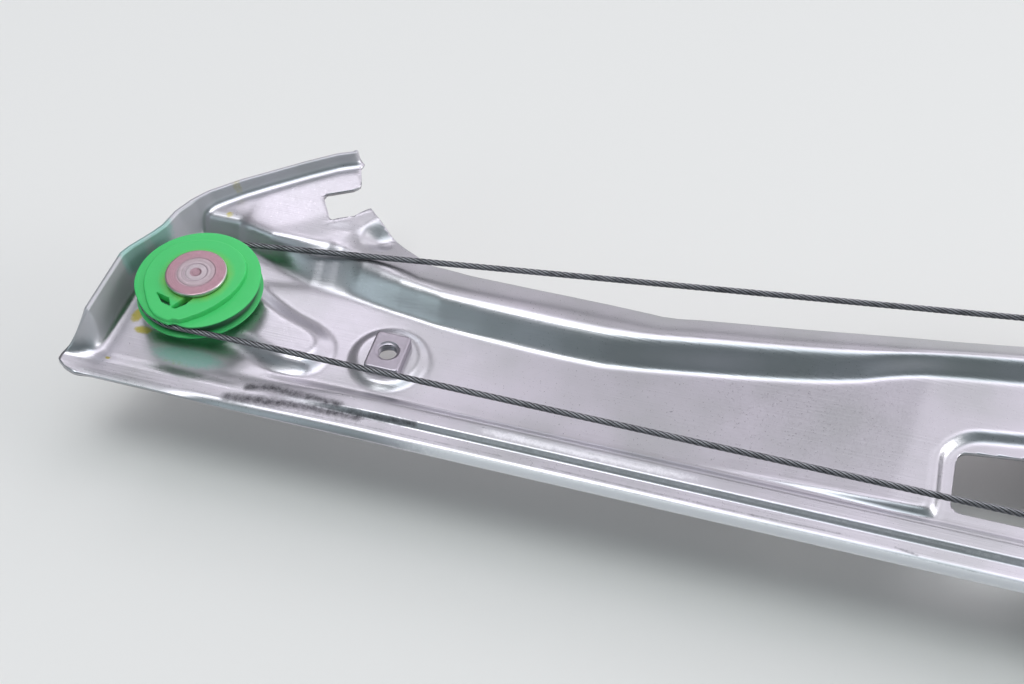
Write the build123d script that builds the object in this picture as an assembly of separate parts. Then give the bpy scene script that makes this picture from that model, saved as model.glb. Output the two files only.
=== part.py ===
from build123d import *
import os
from math import atan2, cos, degrees, hypot, pi, radians, sin, tan

# Cable window regulator: one stamped rail, a pulley at each end, a geared motor that turns a cable
# drum, and a carrier that the cables pull along the rail's guide edge to raise the glass.
# Millimetres. X runs along the rail from the upper pulley to the lower one, Y across it, +Z away from
# the motor. While the pieces are made, the origin is on the upper pulley's axis at the plate's face.
# At the end the whole assembly is moved so that the origin is at the bottom centre of its box.

# ---------------------------------------------------------------- driving dimensions
SHEET = 1.2                 # galvanised steel of the rail
CABLE_R = 0.9               # 1.8 mm stranded cable
CABLE_Z = 8.0               # height of the cable plane above the plate
PITCH_R = 16.9              # pulley radius at the cable's centre line
RIM_R = 18.2                # pulley flange radius
PULLEY_SPAN = 480.0         # from pulley axis to pulley axis
BOSS_Z = 3.0                # raised seat under each pulley
RUN = 0.05                  # radial clearance of a running fit
SCREW_R = 2.5               # M5 screws of the drive
M6_R = 2.5                  # minor radius of an M6 thread

STRAND_RISE = radians(8.2)  # angle of the upper strand to the guide edge
DRUM_PITCH_R = 22.0
DRUM_X = 285.0
DRUM_Y = (PITCH_R - DRUM_PITCH_R + sin(STRAND_RISE) * DRUM_X) / cos(STRAND_RISE)
PLATFORM_Z = 2.5            # raised zone of the plate round the drum and the cut-out

GUIDE_EDGE = -34.0          # free edge of the guide flange
WALL_Z = 12.0               # height of the upturned end wall
WALL_FLARE = tan(radians(13))

WHEEL_TEETH = 60
WORM_STARTS = 2
GEAR_MODULE = 0.9
WHEEL_R = WHEEL_TEETH * GEAR_MODULE / 2
WORM_R = 4.5
WORM_LEAD = pi * GEAR_MODULE * WORM_STARTS
WHEEL_HALF = 5.5            # half the worm wheel's width
MOTOR_Y = DRUM_Y - WHEEL_R - WORM_R
MOTOR_Z = -18.0
MOTOR_R = 19.0
MOTOR_HALF_FLAT = 15.0
FLOOR_Z = MOTOR_Z - MOTOR_HALF_FLAT
CAN_X0, CAN_X1 = 330.0, 392.0
SHAFT_R = 3.0
AXLE_R = 4.0
POT_R = 31.5                # outside radius of the gear housing round the worm wheel
EAR_R = 33.0                # radius of the three drive screws round the drum's axis
EAR_ANGLES = (90, 222, 318)

CARRIER_X = 300.0           # carrier's centre at rest
CARRIER_HALF = 38.0
GLASS_GAP = 4.4             # room for 4 mm glass between the pads

NUT_SIZE = (10.2, 13.2, 5.0)
VISIBLE_NUT = (59.3, -6.1, -1.0)
FIXING_NUTS = (VISIBLE_NUT, (428.0, -6.1, -1.0), (331.0, 36.0, PLATFORM_Z))

# Top line of the end wall's outer face, from the guide corner up round the pulley to the arm's tip.
WALL_TOP = [(-24, -29), (-24, 2), (-22.9, 4.8), (-18.8, 12), (-17, 16), (-15.9, 22), (-13.2, 27.9),
            (-10, 32.4), (-2.5, 39.5), (5.4, 45.8), (13.4, 52.2), (21.7, 58.3), (26.9, 60.8)]
FAR_WALL_TOP = [(478, 30), (492, 27), (502, 18), (507, 6), (507, -29)]


# ---------------------------------------------------------------- helpers
def disc(radius, z0, z1, x=0.0, y=0.0):
    return Pos(x, y, z0) * Cylinder(radius, z1 - z0, align=(Align.CENTER, Align.CENTER, Align.MIN))


def rod(radius, x0, x1, y, z):
    """A cylinder that lies along X."""
    lying = Rot(0, 90, 0) * Cylinder(radius, x1 - x0, align=(Align.CENTER, Align.CENTER, Align.MIN))
    return Pos(x0, y, z) * lying


def block(x0, x1, y0, y1, z0, z1):
    centre = Pos((x0 + x1) / 2, (y0 + y1) / 2, (z0 + z1) / 2)
    return centre * Box(x1 - x0, y1 - y0, z1 - z0)


def polygon(points):
    """A flat face whose normal is its plane's, whichever way round the points run."""
    area = sum(x0 * y1 - x1 * y0 for (x0, y0), (x1, y1) in zip(points, points[1:] + points[:1]))
    return Polygon(*(points if area > 0 else points[::-1]), align=None)


def slab(points, z0, z1, corner=0.0):
    """A polygon in plan, its corners rounded, raised from z0 to z1."""
    face = polygon(points)
    if corner:
        face = fillet(face.vertices(), corner)
    return extrude(Pos(0, 0, z0) * face, z1 - z0)


def along_x(profile, x0, x1):
    """A (y, z) profile carried from x0 to x1."""
    return extrude(Plane.YZ.offset(x0) * polygon(profile), x1 - x0)


def along_y(profile, y0, y1):
    """An (x, z) profile carried from y0 to y1."""
    return extrude(Plane.XZ.offset(-y1) * polygon(profile), y1 - y0)


def turned(profile, x=0.0, y=0.0):
    """A (radius, z) profile turned about a vertical axis."""
    return Pos(x, y, 0) * revolve(Plane.XZ * polygon(profile), Axis.Z)


def turned_x(profile, y, z):
    """An (x, radius) profile turned about an axis along X."""
    return Pos(0, y, z) * revolve(Plane.XZ * polygon(profile), Axis.X)


def inset(line, distance, closed=False):
    """The line moved to its right by distance, with mitred corners."""
    moved = []
    for i, (x, y) in enumerate(line):
        normals = []
        for a, b in ((i - 1, i), (i, i + 1)):
            if closed or (0 <= a and b < len(line)):
                end = line[b % len(line)]
                dx, dy = end[0] - line[a][0], end[1] - line[a][1]
                normals.append((dy / hypot(dx, dy), -dx / hypot(dx, dy)))
        nx = sum(n[0] for n in normals) / len(normals)
        ny = sum(n[1] for n in normals) / len(normals)
        size = nx * nx + ny * ny
        moved.append((x + nx * distance / size, y + ny * distance / size))
    return moved


def lofted(low, z0, high, z1):
    """A ruled body between two polygons of as many corners."""
    lower = Pos(0, 0, z0) * polygon(low)
    upper = Pos(0, 0, z1) * polygon(high)
    return loft([lower.face(), upper.face()], ruled=True)


def drafted(points, z0, z1, angle):
    """A counter-clockwise polygon raised from z0 to z1, its sides leaning inwards by angle."""
    lean = -(z1 - z0) * tan(radians(angle))
    return lofted(points, z0, inset(points, lean, closed=True), z1)


def around_drum(angle, radius=EAR_R):
    return DRUM_X + radius * cos(radians(angle)), DRUM_Y + radius * sin(radians(angle))


# ---------------------------------------------------------------- rail
def flared_wall(line):
    """An upturned wall whose outer face leans outwards, SHEET thick."""
    lean = (WALL_Z + SHEET) * WALL_FLARE
    high = line + inset(line, SHEET)[::-1]
    low = inset(line, lean) + inset(line, lean + SHEET)[::-1]
    return lofted(low, -SHEET, high, WALL_Z)


def guide_profile(shelf_z):
    """Cross-section of the press tool across the guide flange, with its inner shelf at shelf_z."""
    return [(110, -9), (110, 0), (-19, 0), (-21.5, shelf_z), (-26.3, shelf_z), (-28, 1), (-31.5, 1),
            (-35.5, -3), (-35.5, -9)]


def rail_outline(wall_inset):
    """Plan of the sheet. Both end walls' lines are drawn in by wall_inset."""
    near = inset(WALL_TOP, wall_inset)
    near[0] = (near[0][0], -27.4)
    corner_tab = [(-23.5, GUIDE_EDGE), (-28.2, -33.0), (-30.4, -30.4), (-29.6, -27.6)]
    far = inset(FAR_WALL_TOP, wall_inset)
    far[-1] = (far[-1][0], GUIDE_EDGE)
    arm_and_notch = [(31.2, 52.3), (29.6, 49.2), (21.3, 44.4), (27.3, 34.9), (33.7, 38.3), (37.2, 43),
                     (42, 39.5), (51.3, 33.6), (60.3, 29.6), (75, 28.9)]
    edge_to_drum = [(120, 28.5), (136, 28.3), (231, 43.9), (243, 49)]
    bulge = [around_drum(a, 46) for a in range(150, 19, -13)]
    edge_to_end = [(345, 45), (400, 33), (445, 30)]
    return corner_tab + near + arm_and_notch + edge_to_drum + bulge + edge_to_end + far


def press_tool():
    """The solid whose top is the face of the stamped sheet: flats, beads, seats and recesses."""
    low_shelf, high_shelf = guide_profile(0.0), guide_profile(PLATFORM_Z)
    tool = along_x(low_shelf, -60, 15)
    ends = [Plane.YZ.offset(x) * polygon(p) for x, p in ((15, low_shelf), (44, high_shelf))]
    tool += loft([e.face() for e in ends], ruled=True)
    tool += along_x(high_shelf, 44, 540)
    # broad slope behind the pulley, then the arm's plateau on it
    tool += drafted([(-40, 21), (9.5, 20.9), (17.7, 17.3), (27.7, 13.1), (40.5, 10.5), (48, 12), (62, 40),
                     (40, 80), (-40, 80)], 0, 5, 58)
    tool += drafted([(-40, 27), (9, 26.2), (36.5, 27), (44, 36), (44, 80), (-40, 80)], 4.9, 8, 38)
    # stiffening bead along the far edge, and the low lip outside it
    tool += drafted([(39, 12), (56.8, 9.1), (122, 9.5), (144, 12.4), (173, 18.2), (206, 28.2), (247, 34.5),
                     (247, 47.5), (231, 45.2), (125, 27.4), (60, 27.4), (39, 31)], 0, 6, 43)
    tool += drafted([(44, 15), (127, 15), (137, 25), (127, 36), (44, 44)], 0, 2, 45)
    tool += drafted([(350, 24), (400, 14), (452, 11), (452, 25), (400, 29), (350, 40)], 0, 4, 43)
    # seats of the two pulleys; the upper one runs on as a teardrop
    seat = [(20.7 * cos(radians(a)), 20.7 * sin(radians(a))) for a in range(35, 261, 15)]
    teardrop = seat + [(9.3, -14.6), (15.7, -14.9), (22.9, -17.1), (30, -19.4), (37.1, -19.2),
                       (42.1, -15.7), (43.6, -9.3), (40.7, -2.1), (33.6, 3.6)]
    tool += drafted(teardrop, 0, BOSS_Z, 42)
    tool += extrude(Pos(PULLEY_SPAN, 0, 0) * Circle(24), BOSS_Z, taper=42)
    # raised platform round the drum, with a long ramp up to it
    platform = drafted([(110, -9), (352, -9), (352, 90), (110, 90)], 0, PLATFORM_Z, 50)
    platform &= along_y([(118, -1), (118, 0), (205, PLATFORM_Z), (400, PLATFORM_Z), (400, -1)], -20, 100)
    platform -= drafted([(253, -30), (253, 9), (248.5, 13), (219, 9.5), (212.5, 3), (212.5, -30)],
                        0, PLATFORM_Z + 0.1, -35)
    tool += platform
    # round dimples that the two plate nuts stand in
    for x, y, z in FIXING_NUTS:
        if z < 0:
            tool -= extrude(Pos(x, y, 0) * Circle(10.7), -1.0, taper=30)
    return tool


def guide_rail():
    tool = press_tool()
    depth = 9.0
    outline = lofted(rail_outline((WALL_Z + depth) * WALL_FLARE + SHEET / 2), -depth,
                     rail_outline(SHEET / 2), WALL_Z)
    rail = (tool - Pos(0, 0, -SHEET) * tool) & outline
    # the end walls run out into the guide flange at their lower corners
    run_out = along_x([(-29.5, 0.9), (-28, 6), (-22.5, WALL_Z + 1), (-50, WALL_Z + 1), (-50, 0.9)], -40, 520)
    rail += flared_wall(WALL_TOP) - run_out
    rail += flared_wall(FAR_WALL_TOP) - run_out
    # cut-out beside the carrier's path
    rail -= slab([(215.7, -15.3), (250, -15.3), (250, 9), (216.6, 4.6)], -5, 10, corner=3.2)
    rail -= disc(15, -5, 10, DRUM_X, DRUM_Y)
    for angle in EAR_ANGLES:
        rail -= disc(SCREW_R + 0.4, -5, 10, *around_drum(angle))
    for x in (0, PULLEY_SPAN):
        rail -= disc(AXLE_R, -5, 10, x, 0)
    for x, y, z in FIXING_NUTS:
        rail -= disc(3.4, -8, 10, x, y)
    return rail


def fixing_nuts():
    """Rectangular M6 weld nuts, chamfered at the mouth."""
    width, depth, height = NUT_SIZE
    nuts = []
    for x, y, z in FIXING_NUTS:
        body = block(x - width / 2, x + width / 2, y - depth / 2, y + depth / 2, z, z + height)
        body = chamfer(body.edges().filter_by(Axis.Z), 0.8)
        body -= disc(M6_R, z - 1, z + height + 1, x, y)
        body -= Pos(x, y, z + height - 0.4) * Cone(M6_R, 3.3, 0.8)
        nuts.append(body)
    return nuts


# ---------------------------------------------------------------- pulleys and cables
def pulley(x):
    groove_r = PITCH_R - CABLE_R - 0.1
    profile = [(AXLE_R + RUN, 3.3), (9.0, 3.3), (10.0, 4.4), (RIM_R - 1.0, 4.4), (RIM_R, 5.0),
               (RIM_R, 5.5), (groove_r, 7.2), (groove_r, 8.8), (RIM_R, 9.9), (RIM_R, 10.3),
               (14.0, 10.6), (13.8, 11.5), (AXLE_R + RUN, 11.5)]
    wheel = turned(profile, x)
    # pointed tongue that keeps the cable in its groove, with two light pockets at its root
    tongue = [(-12.6, -5.6), (-6.6, -12.2), (-1.8, -17.6), (-0.4, -17.9), (4.6, -14.6), (13.4, -4), (0, 5)]
    wheel += Pos(x, 0, 0) * slab(tongue, 10.2, 11.5)
    for pocket in ([(-4.4, -9.4), (-6.9, -9.2), (-3.0, -12.0)], [(-1.2, -11.6), (4.4, -10.9), (0.2, -12.6)]):
        wheel -= Pos(x, 0, 0) * slab(pocket, 10.4, 12)
    return wheel - disc(AXLE_R + RUN, 0, 20, x, 0)


def pulley_rivet(x):
    profile = [(0, 13.0), (8.3, 13.0), (8.85, 12.5), (8.85, 11.8), (AXLE_R, 11.8), (AXLE_R, 1.8),
               (7.0, 1.8), (6.6, 0.6), (4.5, 0.0), (0, 0.0)]
    return turned(profile, x)


RUN_ON = 9.8                # a strand stops this far from the drum's tangent, clear of the winding


def tangent_point(centre_x, centre_y, radius, angle):
    return centre_x + radius * cos(angle), centre_y + radius * sin(angle)


def cable(end_x, pulley_x, angle, side):
    """From inside the drum housing, round a pulley, and along the guide edge to the carrier's middle."""
    start = tangent_point(DRUM_X, DRUM_Y, DRUM_PITCH_R, angle)
    start = (start[0] + side * RUN_ON * sin(angle), start[1] - side * RUN_ON * cos(angle))
    touch = tangent_point(pulley_x, 0, PITCH_R, angle)
    back = (pulley_x + side * PITCH_R, 0)
    leave = (pulley_x, -PITCH_R)
    route = [Line((end_x, -PITCH_R), leave), ThreePointArc(leave, back, touch), Line(touch, start)]
    tube = None
    for run in route:
        run = Pos(0, 0, CABLE_Z) * run
        length = sweep(Plane(origin=run @ 0, z_dir=run % 0) * Circle(CABLE_R), run)
        tube = length if tube is None else tube + length
    return tube


def lower_angle():
    """Angle of the tangent points of the strand between the drum and the lower pulley."""
    dx, dy = PULLEY_SPAN - DRUM_X, -DRUM_Y
    spread = (DRUM_PITCH_R - PITCH_R) / hypot(dx, dy)
    return atan2(dy, dx) + pi / 2 - spread


# ---------------------------------------------------------------- drum and gear train
GROOVE_PITCH = 1.9
GROOVES = 5
GROOVE_Z = [CABLE_Z + GROOVE_PITCH * (i - (GROOVES - 1) / 2) for i in range(GROOVES)]


def dog_star(radius, depth, teeth=6):
    """A toothed star, the form of the dog that drives the drum."""
    corners = []
    for i in range(teeth):
        for part, r in ((-0.30, radius - depth), (-0.18, radius), (0.18, radius), (0.30, radius - depth)):
            angle = 2 * pi * (i + part) / teeth
            corners.append((DRUM_X + r * cos(angle), DRUM_Y + r * sin(angle)))
    return corners


def cable_drum():
    low, high, crest = 2.9, 13.2, DRUM_PITCH_R - 0.65
    root = DRUM_PITCH_R - CABLE_R - 0.02
    flange = DRUM_PITCH_R + 1.7
    profile = [(9.0, low), (flange, low)]
    for z in GROOVE_Z:
        profile += [(crest, z - 0.93), (root, z - 0.65), (root, z + 0.65), (crest, z + 0.93)]
    profile[2] = (flange, GROOVE_Z[0] - 0.93)
    profile[-1] = (flange, GROOVE_Z[-1] + 0.93)
    profile += [(flange, high), (18.5, high), (18.5, 6.0), (11.5, 6.0), (11.5, high), (9.0, high)]
    drum = turned(profile, DRUM_X, DRUM_Y)
    drum -= slab(dog_star(10.1, 2.0), low - 1, 11.0)
    for i in range(6):
        x, y = around_drum(60 * i + 30, 15)
        drum -= disc(2.2, low - 1, 7, x, y)
    return drum


def drum_winding():
    turns = []
    for z in GROOVE_Z:
        turns.append(Pos(DRUM_X, DRUM_Y, z) * Torus(DRUM_PITCH_R, CABLE_R))
    return turns


def drive_dog():
    """Hub that stands on the damper, passes the plate and turns the drum."""
    dog = slab(dog_star(10.0, 2.0), 1.0, 10.9)
    dog += disc(13.0, -4.0, 1.2, DRUM_X, DRUM_Y)
    for i in range(3):
        x, y = around_drum(120 * i, 16)
        arm = Pos(x, y, 0) * Rot(0, 0, 120 * i) * block(-5.5, 5.5, -3, 3, -11.5, -2.6)
        dog += arm
    dog -= disc(AXLE_R + RUN, -12, 12, DRUM_X, DRUM_Y)
    return dog


def wheel_outline(turn):
    """Tooth tips and roots of the worm wheel in plan, turned by an angle in radians."""
    outer = []
    for i in range(WHEEL_TEETH):
        for part, r in ((-0.36, WHEEL_R - 1.0), (-0.14, WHEEL_R + 0.8), (0.14, WHEEL_R + 0.8),
                        (0.36, WHEEL_R - 1.0)):
            angle = 2 * pi * (i + part + 0.5) / WHEEL_TEETH + turn
            outer.append((DRUM_X + r * cos(angle), DRUM_Y + r * sin(angle)))
    return outer


def worm_wheel():
    z0, z1 = MOTOR_Z - WHEEL_HALF, MOTOR_Z + WHEEL_HALF
    twist = degrees(WHEEL_HALF * WORM_LEAD / (2 * pi * WORM_R * WHEEL_R))
    outline = (Pos(0, 0, z0) * polygon(wheel_outline(radians(twist)))).face()
    wheel = Solid.extrude_linear_with_rotation(outline, (DRUM_X, DRUM_Y, z0), (0, 0, z1 - z0), -2 * twist)
    wheel -= disc(23.0, z0 + 3.0, z1 + 1, DRUM_X, DRUM_Y)
    wheel += disc(8.0, z0 + 2.9, z1, DRUM_X, DRUM_Y)
    for i in range(3):
        x, y = around_drum(120 * i + 60, 15.3)
        wheel += Pos(x, y, 0) * Rot(0, 0, 120 * i + 60) * block(-8, 8, -2, 2, z0 + 2.9, z1)
    wheel -= disc(AXLE_R + RUN, z0 - 1, z1 + 1, DRUM_X, DRUM_Y)
    return wheel


def rubber_damper():
    """Three rubber cushions that fill the wheel between its ribs, each gripping one arm of the dog."""
    z0, z1 = MOTOR_Z - 2.4, MOTOR_Z + 5.3
    ring = disc(22.6, z0, z1, DRUM_X, DRUM_Y) - disc(9.0, z0 - 1, z1 + 1, DRUM_X, DRUM_Y)
    for i in range(3):
        x, y = around_drum(120 * i + 60, 16)
        ring -= Pos(x, y, 0) * Rot(0, 0, 120 * i + 60) * block(-9, 9, -2.6, 2.6, z0 - 1, z1 + 1)
        x, y = around_drum(120 * i, 16)
        ring -= Pos(x, y, 0) * Rot(0, 0, 120 * i) * block(-6.2, 6.2, -3.4, 3.4, -12.0, z1 + 1)
    return ring


def wheel_axle():
    profile = [(0, -30.0), (AXLE_R, -30.0), (AXLE_R, 11.6), (AXLE_R - 0.6, 11.6), (AXLE_R - 0.6, 12.4),
               (AXLE_R, 12.4), (AXLE_R - 0.6, 13.4), (0, 13.4)]
    return turned(profile, DRUM_X, DRUM_Y)


def axle_clip():
    ring = disc(7.0, 11.65, 12.35, DRUM_X, DRUM_Y) - disc(AXLE_R - 0.6, 11, 13, DRUM_X, DRUM_Y)
    return ring - block(DRUM_X, DRUM_X + 8, DRUM_Y - 2.2, DRUM_Y + 2.2, 11, 13)


# ---------------------------------------------------------------- housings
def strand_clearance(angle, side, width=2.6):
    """The room that a strand needs to leave the drum housing."""
    x, y = tangent_point(DRUM_X, DRUM_Y, DRUM_PITCH_R, angle)
    turn = degrees(angle) - 90
    room = block(0, 24, -width, width, -width, width) if side > 0 else block(-24, 0, -width, width,
                                                                            -width, width)
    return Pos(x, y, CABLE_Z) * Rot(0, 0, turn) * room


def drum_housing():
    z0, z1 = PLATFORM_Z, 16.6
    cap = disc(27.8, z0, z1, DRUM_X, DRUM_Y)
    cap = chamfer(cap.edges().filter_by(GeomType.CIRCLE).sort_by(Axis.Z)[-1], 1.5)
    for angle in EAR_ANGLES:
        x, y = around_drum(angle)
        cap += disc(5.5, z0, 6.0, x, y)
        mid_x, mid_y = around_drum(angle, 26)
        cap += Pos(mid_x, mid_y, 0) * Rot(0, 0, angle) * block(-3, 7, -5.5, 5.5, z0, 6.0)
    cap -= disc(25.6, z0 - 1, z1 - 2.0, DRUM_X, DRUM_Y)
    for i in range(8):
        x, y = around_drum(45 * i, 15)
        cap += Pos(x, y, 0) * Rot(0, 0, 45 * i) * block(-9, 9, -0.8, 0.8, z1 - 0.4, z1 + 0.8)
    cap += disc(6.5, z1 - 0.4, z1 + 0.8, DRUM_X, DRUM_Y)
    for angle in EAR_ANGLES:
        cap -= disc(SCREW_R + 0.3, z0 - 1, 8, *around_drum(angle))
    cap -= strand_clearance(pi / 2 + STRAND_RISE, -1)
    cap -= strand_clearance(lower_angle(), 1)
    return cap


def housing_screws():
    screws = []
    for angle in EAR_ANGLES:
        x, y = around_drum(angle)
        screw = disc(SCREW_R, -12.0, 6.2, x, y) + disc(4.6, 6.0, 9.0, x, y) + disc(5.2, 6.0, 6.8, x, y)
        screw -= slab([(x + 2.4 * cos(radians(60 * i)), y + 2.4 * sin(radians(60 * i)))
                       for i in range(6)], 7.0, 10)
        screws.append(screw)
    return screws


def gear_housing():
    top = PLATFORM_Z - SHEET
    pot = disc(POT_R, FLOOR_Z, top, DRUM_X, DRUM_Y)
    tunnel = rod(10.5, 256, 316, MOTOR_Y, MOTOR_Z)
    tunnel += block(296, 316, MOTOR_Y - 13, MOTOR_Y + 13, FLOOR_Z, MOTOR_Z + 12)
    for angle in EAR_ANGLES:
        x, y = around_drum(angle)
        tunnel += disc(5.6, -15, top, x, y)
    shell = pot + tunnel
    # wheel chamber, open at the top, and the ribbed underside
    shell -= disc(29.0, MOTOR_Z - 6.2, top + 1, DRUM_X, DRUM_Y)
    shell -= disc(29.0, FLOOR_Z - 1, MOTOR_Z - 9.2, DRUM_X, DRUM_Y) - disc(8, FLOOR_Z - 2, 0, DRUM_X, DRUM_Y)
    for i in range(6):
        x, y = around_drum(60 * i + 15, 18.5)
        shell += Pos(x, y, 0) * Rot(0, 0, 60 * i + 15) * block(-11.5, 11.5, -1.1, 1.1, FLOOR_Z, MOTOR_Z - 9)
    shell -= rod(6.2, 259, 317, MOTOR_Y, MOTOR_Z)
    shell -= disc(AXLE_R, -30, 0, DRUM_X, DRUM_Y)
    for angle in EAR_ANGLES:
        shell -= disc(SCREW_R, -13, top + 1, *around_drum(angle))
    # seats of the two shaft bushes
    shell -= rod(6.5, 261.5, 266, MOTOR_Y, MOTOR_Z)
    shell -= rod(6.5, 311, 317, MOTOR_Y, MOTOR_Z)
    for y in (MOTOR_Y - 10.5, MOTOR_Y + 10.5):
        shell -= rod(1.6, 306, 317, y, MOTOR_Z - 9)
    return shell


def gear_cover():
    cover = disc(28.8, -1.6, 0.2, DRUM_X, DRUM_Y) + disc(14.7, -1.6, 2.3, DRUM_X, DRUM_Y)
    return cover - disc(13.3, -3, 4, DRUM_X, DRUM_Y)


def d_section(radius, half_flat, x0, x1):
    """A round bar along X with two flats, above and below."""
    flat = block(x0, x1, MOTOR_Y - radius, MOTOR_Y + radius, MOTOR_Z - half_flat, MOTOR_Z + half_flat)
    return rod(radius, x0, x1, MOTOR_Y, MOTOR_Z) & flat


def motor_can():
    can = d_section(MOTOR_R, MOTOR_HALF_FLAT, CAN_X0, CAN_X1)
    can = fillet(can.faces().sort_by(Axis.X)[-1].edges(), 2.5)
    can -= d_section(MOTOR_R - 1.6, MOTOR_HALF_FLAT - 1.6, CAN_X0 - 1, CAN_X1 - 1.6)
    can += rod(6.5, CAN_X1 - 2, CAN_X1 + 5, MOTOR_Y, MOTOR_Z)
    can -= rod(5.0, CAN_X1 - 3, CAN_X1 + 3.6, MOTOR_Y, MOTOR_Z)
    flange = d_section(MOTOR_R + 1.2, MOTOR_HALF_FLAT, CAN_X0, CAN_X0 + 1.6)
    for y in (MOTOR_Y - 10.5, MOTOR_Y + 10.5):
        flange -= rod(1.8, CAN_X0 - 1, CAN_X0 + 3, y, MOTOR_Z - 9)
    flange -= d_section(MOTOR_R - 1.6, MOTOR_HALF_FLAT - 1.6, CAN_X0 - 1, CAN_X0 + 3)
    return can + flange


def field_magnets():
    ring = rod(MOTOR_R - 1.7, 338, 380, MOTOR_Y, MOTOR_Z) - rod(11.2, 337, 381, MOTOR_Y, MOTOR_Z)
    keep = block(338, 380, MOTOR_Y - 30, MOTOR_Y + 30, MOTOR_Z - 9.5, MOTOR_Z + 9.5)
    return list((ring & keep).solids())


def brush_holder():
    body = d_section(MOTOR_R - 0.2, MOTOR_HALF_FLAT, 316, 330)
    body -= rod(8.0, 319, 331, MOTOR_Y, MOTOR_Z)
    body -= rod(SHAFT_R + 1.0, 315, 331, MOTOR_Y, MOTOR_Z)
    for side in (-1, 1):
        y = MOTOR_Y + side * 11
        body -= block(321.5, 326.5, y - 4.5, y + 4.5, MOTOR_Z - 2.5, MOTOR_Z + 2.5)
    for y in (MOTOR_Y - 10.5, MOTOR_Y + 10.5):
        body -= rod(1.8, 315, 331, y, MOTOR_Z - 9)
    return body


def brushes():
    pair = []
    for side in (-1, 1):
        y = MOTOR_Y + side * 10.2
        brush = block(321.7, 326.3, y - 4.2, y + 4.2, MOTOR_Z - 2.3, MOTOR_Z + 2.3)
        pair.append(brush)
    return pair


def shaft_bushes():
    pair = []
    for x0, x1 in ((261.5, 266), (311, 316)):
        pair.append(rod(6.5, x0, x1, MOTOR_Y, MOTOR_Z) - rod(SHAFT_R + RUN, x0 - 1, x1 + 1, MOTOR_Y, MOTOR_Z))
    return pair


def motor_screws():
    pair = []
    for y in (MOTOR_Y - 10.5, MOTOR_Y + 10.5):
        shank = rod(1.6, 306.5, CAN_X0 + 1.7, y, MOTOR_Z - 9)
        pair.append(shank + rod(3.0, CAN_X0 + 1.6, CAN_X0 + 4.4, y, MOTOR_Z - 9))
    return pair


def connector_housing():
    """Two-pole socket that stands on the gear housing's side, open towards -Y."""
    y1 = MOTOR_Y - 13
    body = block(296.5, 315.5, y1 - 15, y1, FLOOR_Z + 3, FLOOR_Z + 15)
    socket = block(298.5, 313.5, y1 - 16, y1 - 3, FLOOR_Z + 5, FLOOR_Z + 13)
    rib = block(303.5, 308.5, y1 - 13, y1, FLOOR_Z + 15, FLOOR_Z + 16.2)
    return body - socket + rib


def connector_pins():
    y1 = MOTOR_Y - 13
    return [block(x - 1.4, x + 1.4, y1 - 11, y1 - 3, FLOOR_Z + 8.6, FLOOR_Z + 9.4) for x in (302.5, 309.5)]


# ---------------------------------------------------------------- armature
def worm_thread(start):
    """One left-hand thread of the worm; where it faces the wheel it fills a gap between teeth."""
    x0 = DRUM_X - 2.25 * WORM_LEAD
    path = Helix(pitch=WORM_LEAD, height=4.5 * WORM_LEAD, radius=3.3, lefthand=True)
    side = Plane(origin=path @ 0, x_dir=(1, 0, 0), z_dir=(0, -1, 0))
    section = make_face(side * Polyline((0, -0.96), (2.0, -0.32), (2.0, 0.32), (0, 0.96), close=True))
    thread = sweep(section, path=path, is_frenet=True)
    return Pos(x0, MOTOR_Y, MOTOR_Z) * Rot(0, 90, 0) * Rot(0, 0, 360 * start / WORM_STARTS) * thread


def armature_shaft():
    profile = [(259.6, 0), (259.6, 2.4), (260.2, SHAFT_R), (270, SHAFT_R), (270.5, 3.5), (299.5, 3.5),
               (300, SHAFT_R), (395.0, SHAFT_R), (395.6, 2.4), (395.6, 0)]
    shaft = turned_x(profile, MOTOR_Y, MOTOR_Z)
    for start in range(WORM_STARTS):
        shaft += worm_thread(start)
    return shaft


def armature_core():
    core = rod(10.6, 342, 376, MOTOR_Y, MOTOR_Z)
    for i in range(8):
        slot = block(341, 377, -0.7, 0.7, 5.5, 11.0)
        core -= Pos(0, MOTOR_Y, MOTOR_Z) * Rot(45 * i, 0, 0) * slot
    return core - rod(SHAFT_R, 341, 377, MOTOR_Y, MOTOR_Z)


def armature_winding():
    ends = []
    for x0, x1 in ((335.5, 342), (376, 382.5)):
        ring = turned_x([(x0, 3.2), (x0, 6.5), (x0 + 1.8, 9.4), (x1 - 1.8, 9.4), (x1, 6.5), (x1, 3.2)],
                        MOTOR_Y, MOTOR_Z)
        ends.append(ring)
    return ends


def commutator():
    body = rod(5.9, 320, 331, MOTOR_Y, MOTOR_Z) + rod(6.8, 329, 331, MOTOR_Y, MOTOR_Z)
    for i in range(8):
        gap = block(319, 330, -0.2, 0.2, 5.2, 7.5)
        body -= Pos(0, MOTOR_Y, MOTOR_Z) * Rot(45 * i + 22.5, 0, 0) * gap
    return body - rod(SHAFT_R, 319, 332, MOTOR_Y, MOTOR_Z)


# ---------------------------------------------------------------- carrier
PLATE_Z0, PLATE_Z1 = 10.6, 12.2
PAD_LOW = PLATE_Z1 + 2.0
PAD_HIGH = PAD_LOW + GLASS_GAP
CLAMP_Y = -22.0
SCREW_X = CARRIER_X + 2.0


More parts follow.
